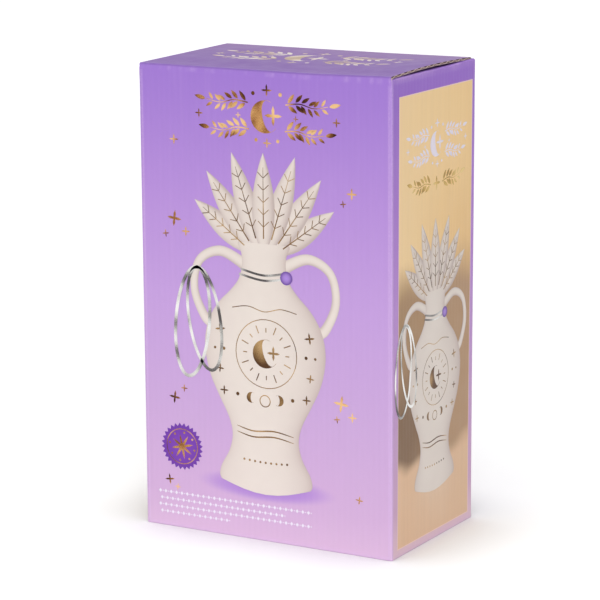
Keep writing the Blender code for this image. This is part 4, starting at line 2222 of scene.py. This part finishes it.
        def place(drawing: Drawing) -> Drawing:
            """A drawing at the picture's place and size."""
            return drawing.moved(x, z, 0, scale)

        over = self.step * (len(self.leaves) // 2 + 1)
        spray = [(place(self.spray(n)), self.step * (n // 2)) for n in range(len(self.leaves))]
        plates.lay(f"{prefix}_leaves", spray, Ink.LEAF.make())
        vase = [(place(self.handles()), over), (place(self.body()), over + self.step)]
        plates.lay(f"{prefix}_vase", vase, Ink.IVORY.make())
        over += 2 * self.step
        lines = [(place(self.ribs()), over), (place(self.marks()), over)]
        plates.lay(f"{prefix}_lines", lines, Foil.BRONZE.make())
        plates.lay(f"{prefix}_rings", [(place(self.rings()), over + self.step)], Foil.SILVER.make())
        gem = [(place(disc(0.0148, 0.1238, 0.0040)), over + 2 * self.step)]
        plates.lay(f"{prefix}_gem", gem, Ink.GEM.make())


@dataclass(frozen=True)
class Ornaments:
    """Foil and ink ornaments round the pictures."""

    badge: tuple[float, float] = (-0.0519, 0.0452)
    badge_radius: float = 0.0130
    sparkles: tuple[tuple[float, float, float], ...] = (
        (-0.0545, 0.1690, 0.0044), (-0.0475, 0.1625, 0.0027), (-0.0600, 0.1605, 0.0022),
        (0.0455, 0.0800, 0.0046), (0.0520, 0.0735, 0.0028), (0.0430, 0.0715, 0.0021),
        (-0.0560, 0.0720, 0.0036), (-0.0500, 0.0775, 0.0022), (-0.0600, 0.0262, 0.0030),
        (-0.0550, 0.0225, 0.0019), (0.0520, 0.1900, 0.0032), (0.0470, 0.1845, 0.0020),
        (0.0560, 0.0300, 0.0024), (-0.0540, 0.2110, 0.0028),
    )
    rows: tuple[tuple[float, float], ...] = (
        (0.0191, 0.0270), (0.0154, 0.0130), (0.0117, 0.0285), (0.0080, -0.0230),
    )

    def crest(self) -> Drawing:
        """A moon and a star between four sprigs, with small stars and dots round them.

        Returns:
            The drawing.
        """
        made = Drawing()
        made.add(crescent(0.0090).moved(-0.0012, 0.0, 12), star(0.0056).moved(0.0040, 0.0008))
        for flip in (-1, 1):
            made.add(sprig(0.0290, 0.0027, 6).moved(flip * 0.0118, 0.0072, 0, 1.0, flip))
            made.add(sprig(0.0270, 0.0027, 6).moved(flip * 0.0112, -0.0072, flip * -3, 1.0, flip))
            made.add(star(0.0026).moved(flip * 0.0430, -0.0004))
            made.add(star(0.0018).moved(flip * 0.0180, 0.0))
            made.add(disc(flip * 0.0085, 0.0125, 0.0011), disc(flip * 0.0068, -0.0128, 0.0010))
        return made.add(star(0.0034).moved(0.0, 0.0145), star(0.0028).moved(0.0, -0.0142))

    def garland(self) -> Drawing:
        """One row: a star between two sprigs."""
        made = Drawing().add(star(0.0050))
        for flip in (-1, 1):
            made.add(sprig(0.0270, 0.0029, 6).moved(flip * 0.0080, 0.0, flip * 4, 1.0, flip))
        return made

    def burst(self) -> Drawing:
        """The round badge with a pointed rim."""
        made = Drawing()
        count = 28
        angles = [math.pi * n / count for n in range(2 * count)]
        reach = [self.badge_radius * (1.0 if n % 2 else 0.87) for n in range(2 * count)]
        made.shape([(r * math.cos(a), r * math.sin(a)) for r, a in zip(reach, angles)])
        return made

    def badge_marks(self) -> Drawing:
        """Ring, star and dots in the badge's middle.

        Returns:
            The drawing.
        """
        made = Drawing()
        made.stroke(ring_path(0.0, 0.0, 0.0096, 0.0096), 0.00045, closed=True)
        made.add(star(0.0070, 0.26, 8))
        for n in range(8):
            turn = math.radians(22.5 + 45 * n)
            made.add(disc(0.0078 * math.cos(turn), 0.0078 * math.sin(turn), 0.0006))
        return made

    def border(self) -> Drawing:
        """Rows of small lozenges and dots under the picture.

        Returns:
            The drawing.
        """
        made = Drawing()
        for n, (z, end) in enumerate(self.rows):
            x = -0.0662 + 0.0010 * (n % 2)
            while x < end:
                made.shape([(x, z - 0.0011), (x + 0.0010, z), (x, z + 0.0011), (x - 0.0010, z)])
                made.add(disc(x + 0.0017, z, 0.00034))
                x += 0.0034
        return made

    def front(self, plates: Plates) -> None:
        """Lay the front panel's ornaments."""
        gold = Foil.GOLD.make()
        plates.lay("crest", [(self.crest().moved(0.0025, 0.2262, 0, 0.95), 0.0)], gold)
        plates.lay("badge", [(self.burst().moved(*self.badge), 0.0)], Ink.VIOLET.make())
        plates.lay("badge_foil", [(self.badge_marks().moved(*self.badge, 12), 0.00003)], gold)
        plates.lay("white_border", [(self.border(), 0.0)], Ink.WHITE.make())
        plates.lay("sparkles", [(self.stars(1), 0.0)], gold)

    def stars(self, flip: int) -> Drawing:
        """All sparkles, mirrored where flip is -1."""
        made = Drawing()
        for n, (x, z, radius) in enumerate(self.sparkles):
            made.add(star(radius).moved(flip * x, z, 7 * (n % 3 - 1)))
        return made

    def side(self, plates: Plates, prefix: str) -> None:
        """Lay a side panel's two rows over its picture.

        Args:
            plates: The panel's layer of plates.
            prefix: Start of the pieces' names.
        """
        crest = [(self.crest().moved(0.0030, 0.2110, 0, 0.74), 0.0)]
        plates.lay(f"{prefix}_crest", crest, Ink.WHITE.make())
        garland = [(self.garland().moved(0.0025, 0.1905, 0, 0.80), 0.0)]
        plates.lay(f"{prefix}_garland", garland, Foil.OCHRE.make())


def report(piece: Object) -> None:
    """Log one piece with its number of faces."""
    LOG.info("%s: %d faces", piece.name, len(piece.data.polygons))


def main() -> None:
    """Build the studio, then the carton's pieces in order."""
    logging.basicConfig(level=logging.INFO, format="%(name)s %(message)s")
    Studio().build()
    d = Dieline()
    edge = RawEdge()
    finishes = [
        LaminatedPrint().make(), PictureFields(offset=d.right_s(0.0)).make(),
        edge.make_liner(), edge.make_core(), InnerLiner().make(),
    ]
    wrap, lid = Wrap(), Lid()
    report(wrap.build(finishes))
    for side in (-1, 1):
        report(BaseFlaps().build(side, finishes))
    report(lid.build(finishes))
    ornaments, motif = Ornaments(), VaseMotif()
    front = Plates(wrap.skin)
    motif.build(front, "front", (0.0, 0.0310), 0.905)
    ornaments.front(front)
    for side, prefix in ((1, "right"), (-1, "left")):
        panel = Plates(wrap.skin, origin=side * d.right_s(0.0))
        motif.build(panel, prefix, (side * 0.0015, 0.0310), 0.725)
        ornaments.side(panel, prefix)
    rear = Plates(wrap.skin, origin=d.back_middle)
    motif.build(rear, "back", (0.0, 0.0310), 0.905)
    rear.lay("back_sparkles", [(ornaments.stars(-1), 0.0)], Foil.GOLD.make())
    top = Plates(lid.skin, "lid", "printed_lid")
    crest = ornaments.crest().moved(-0.0020, lid.top_start + 0.0500, 0, 1.25)
    top.lay("top_crest", [(crest, 0.0)], Foil.PALE_GOLD.make())


if __name__ == "__main__":
    main()
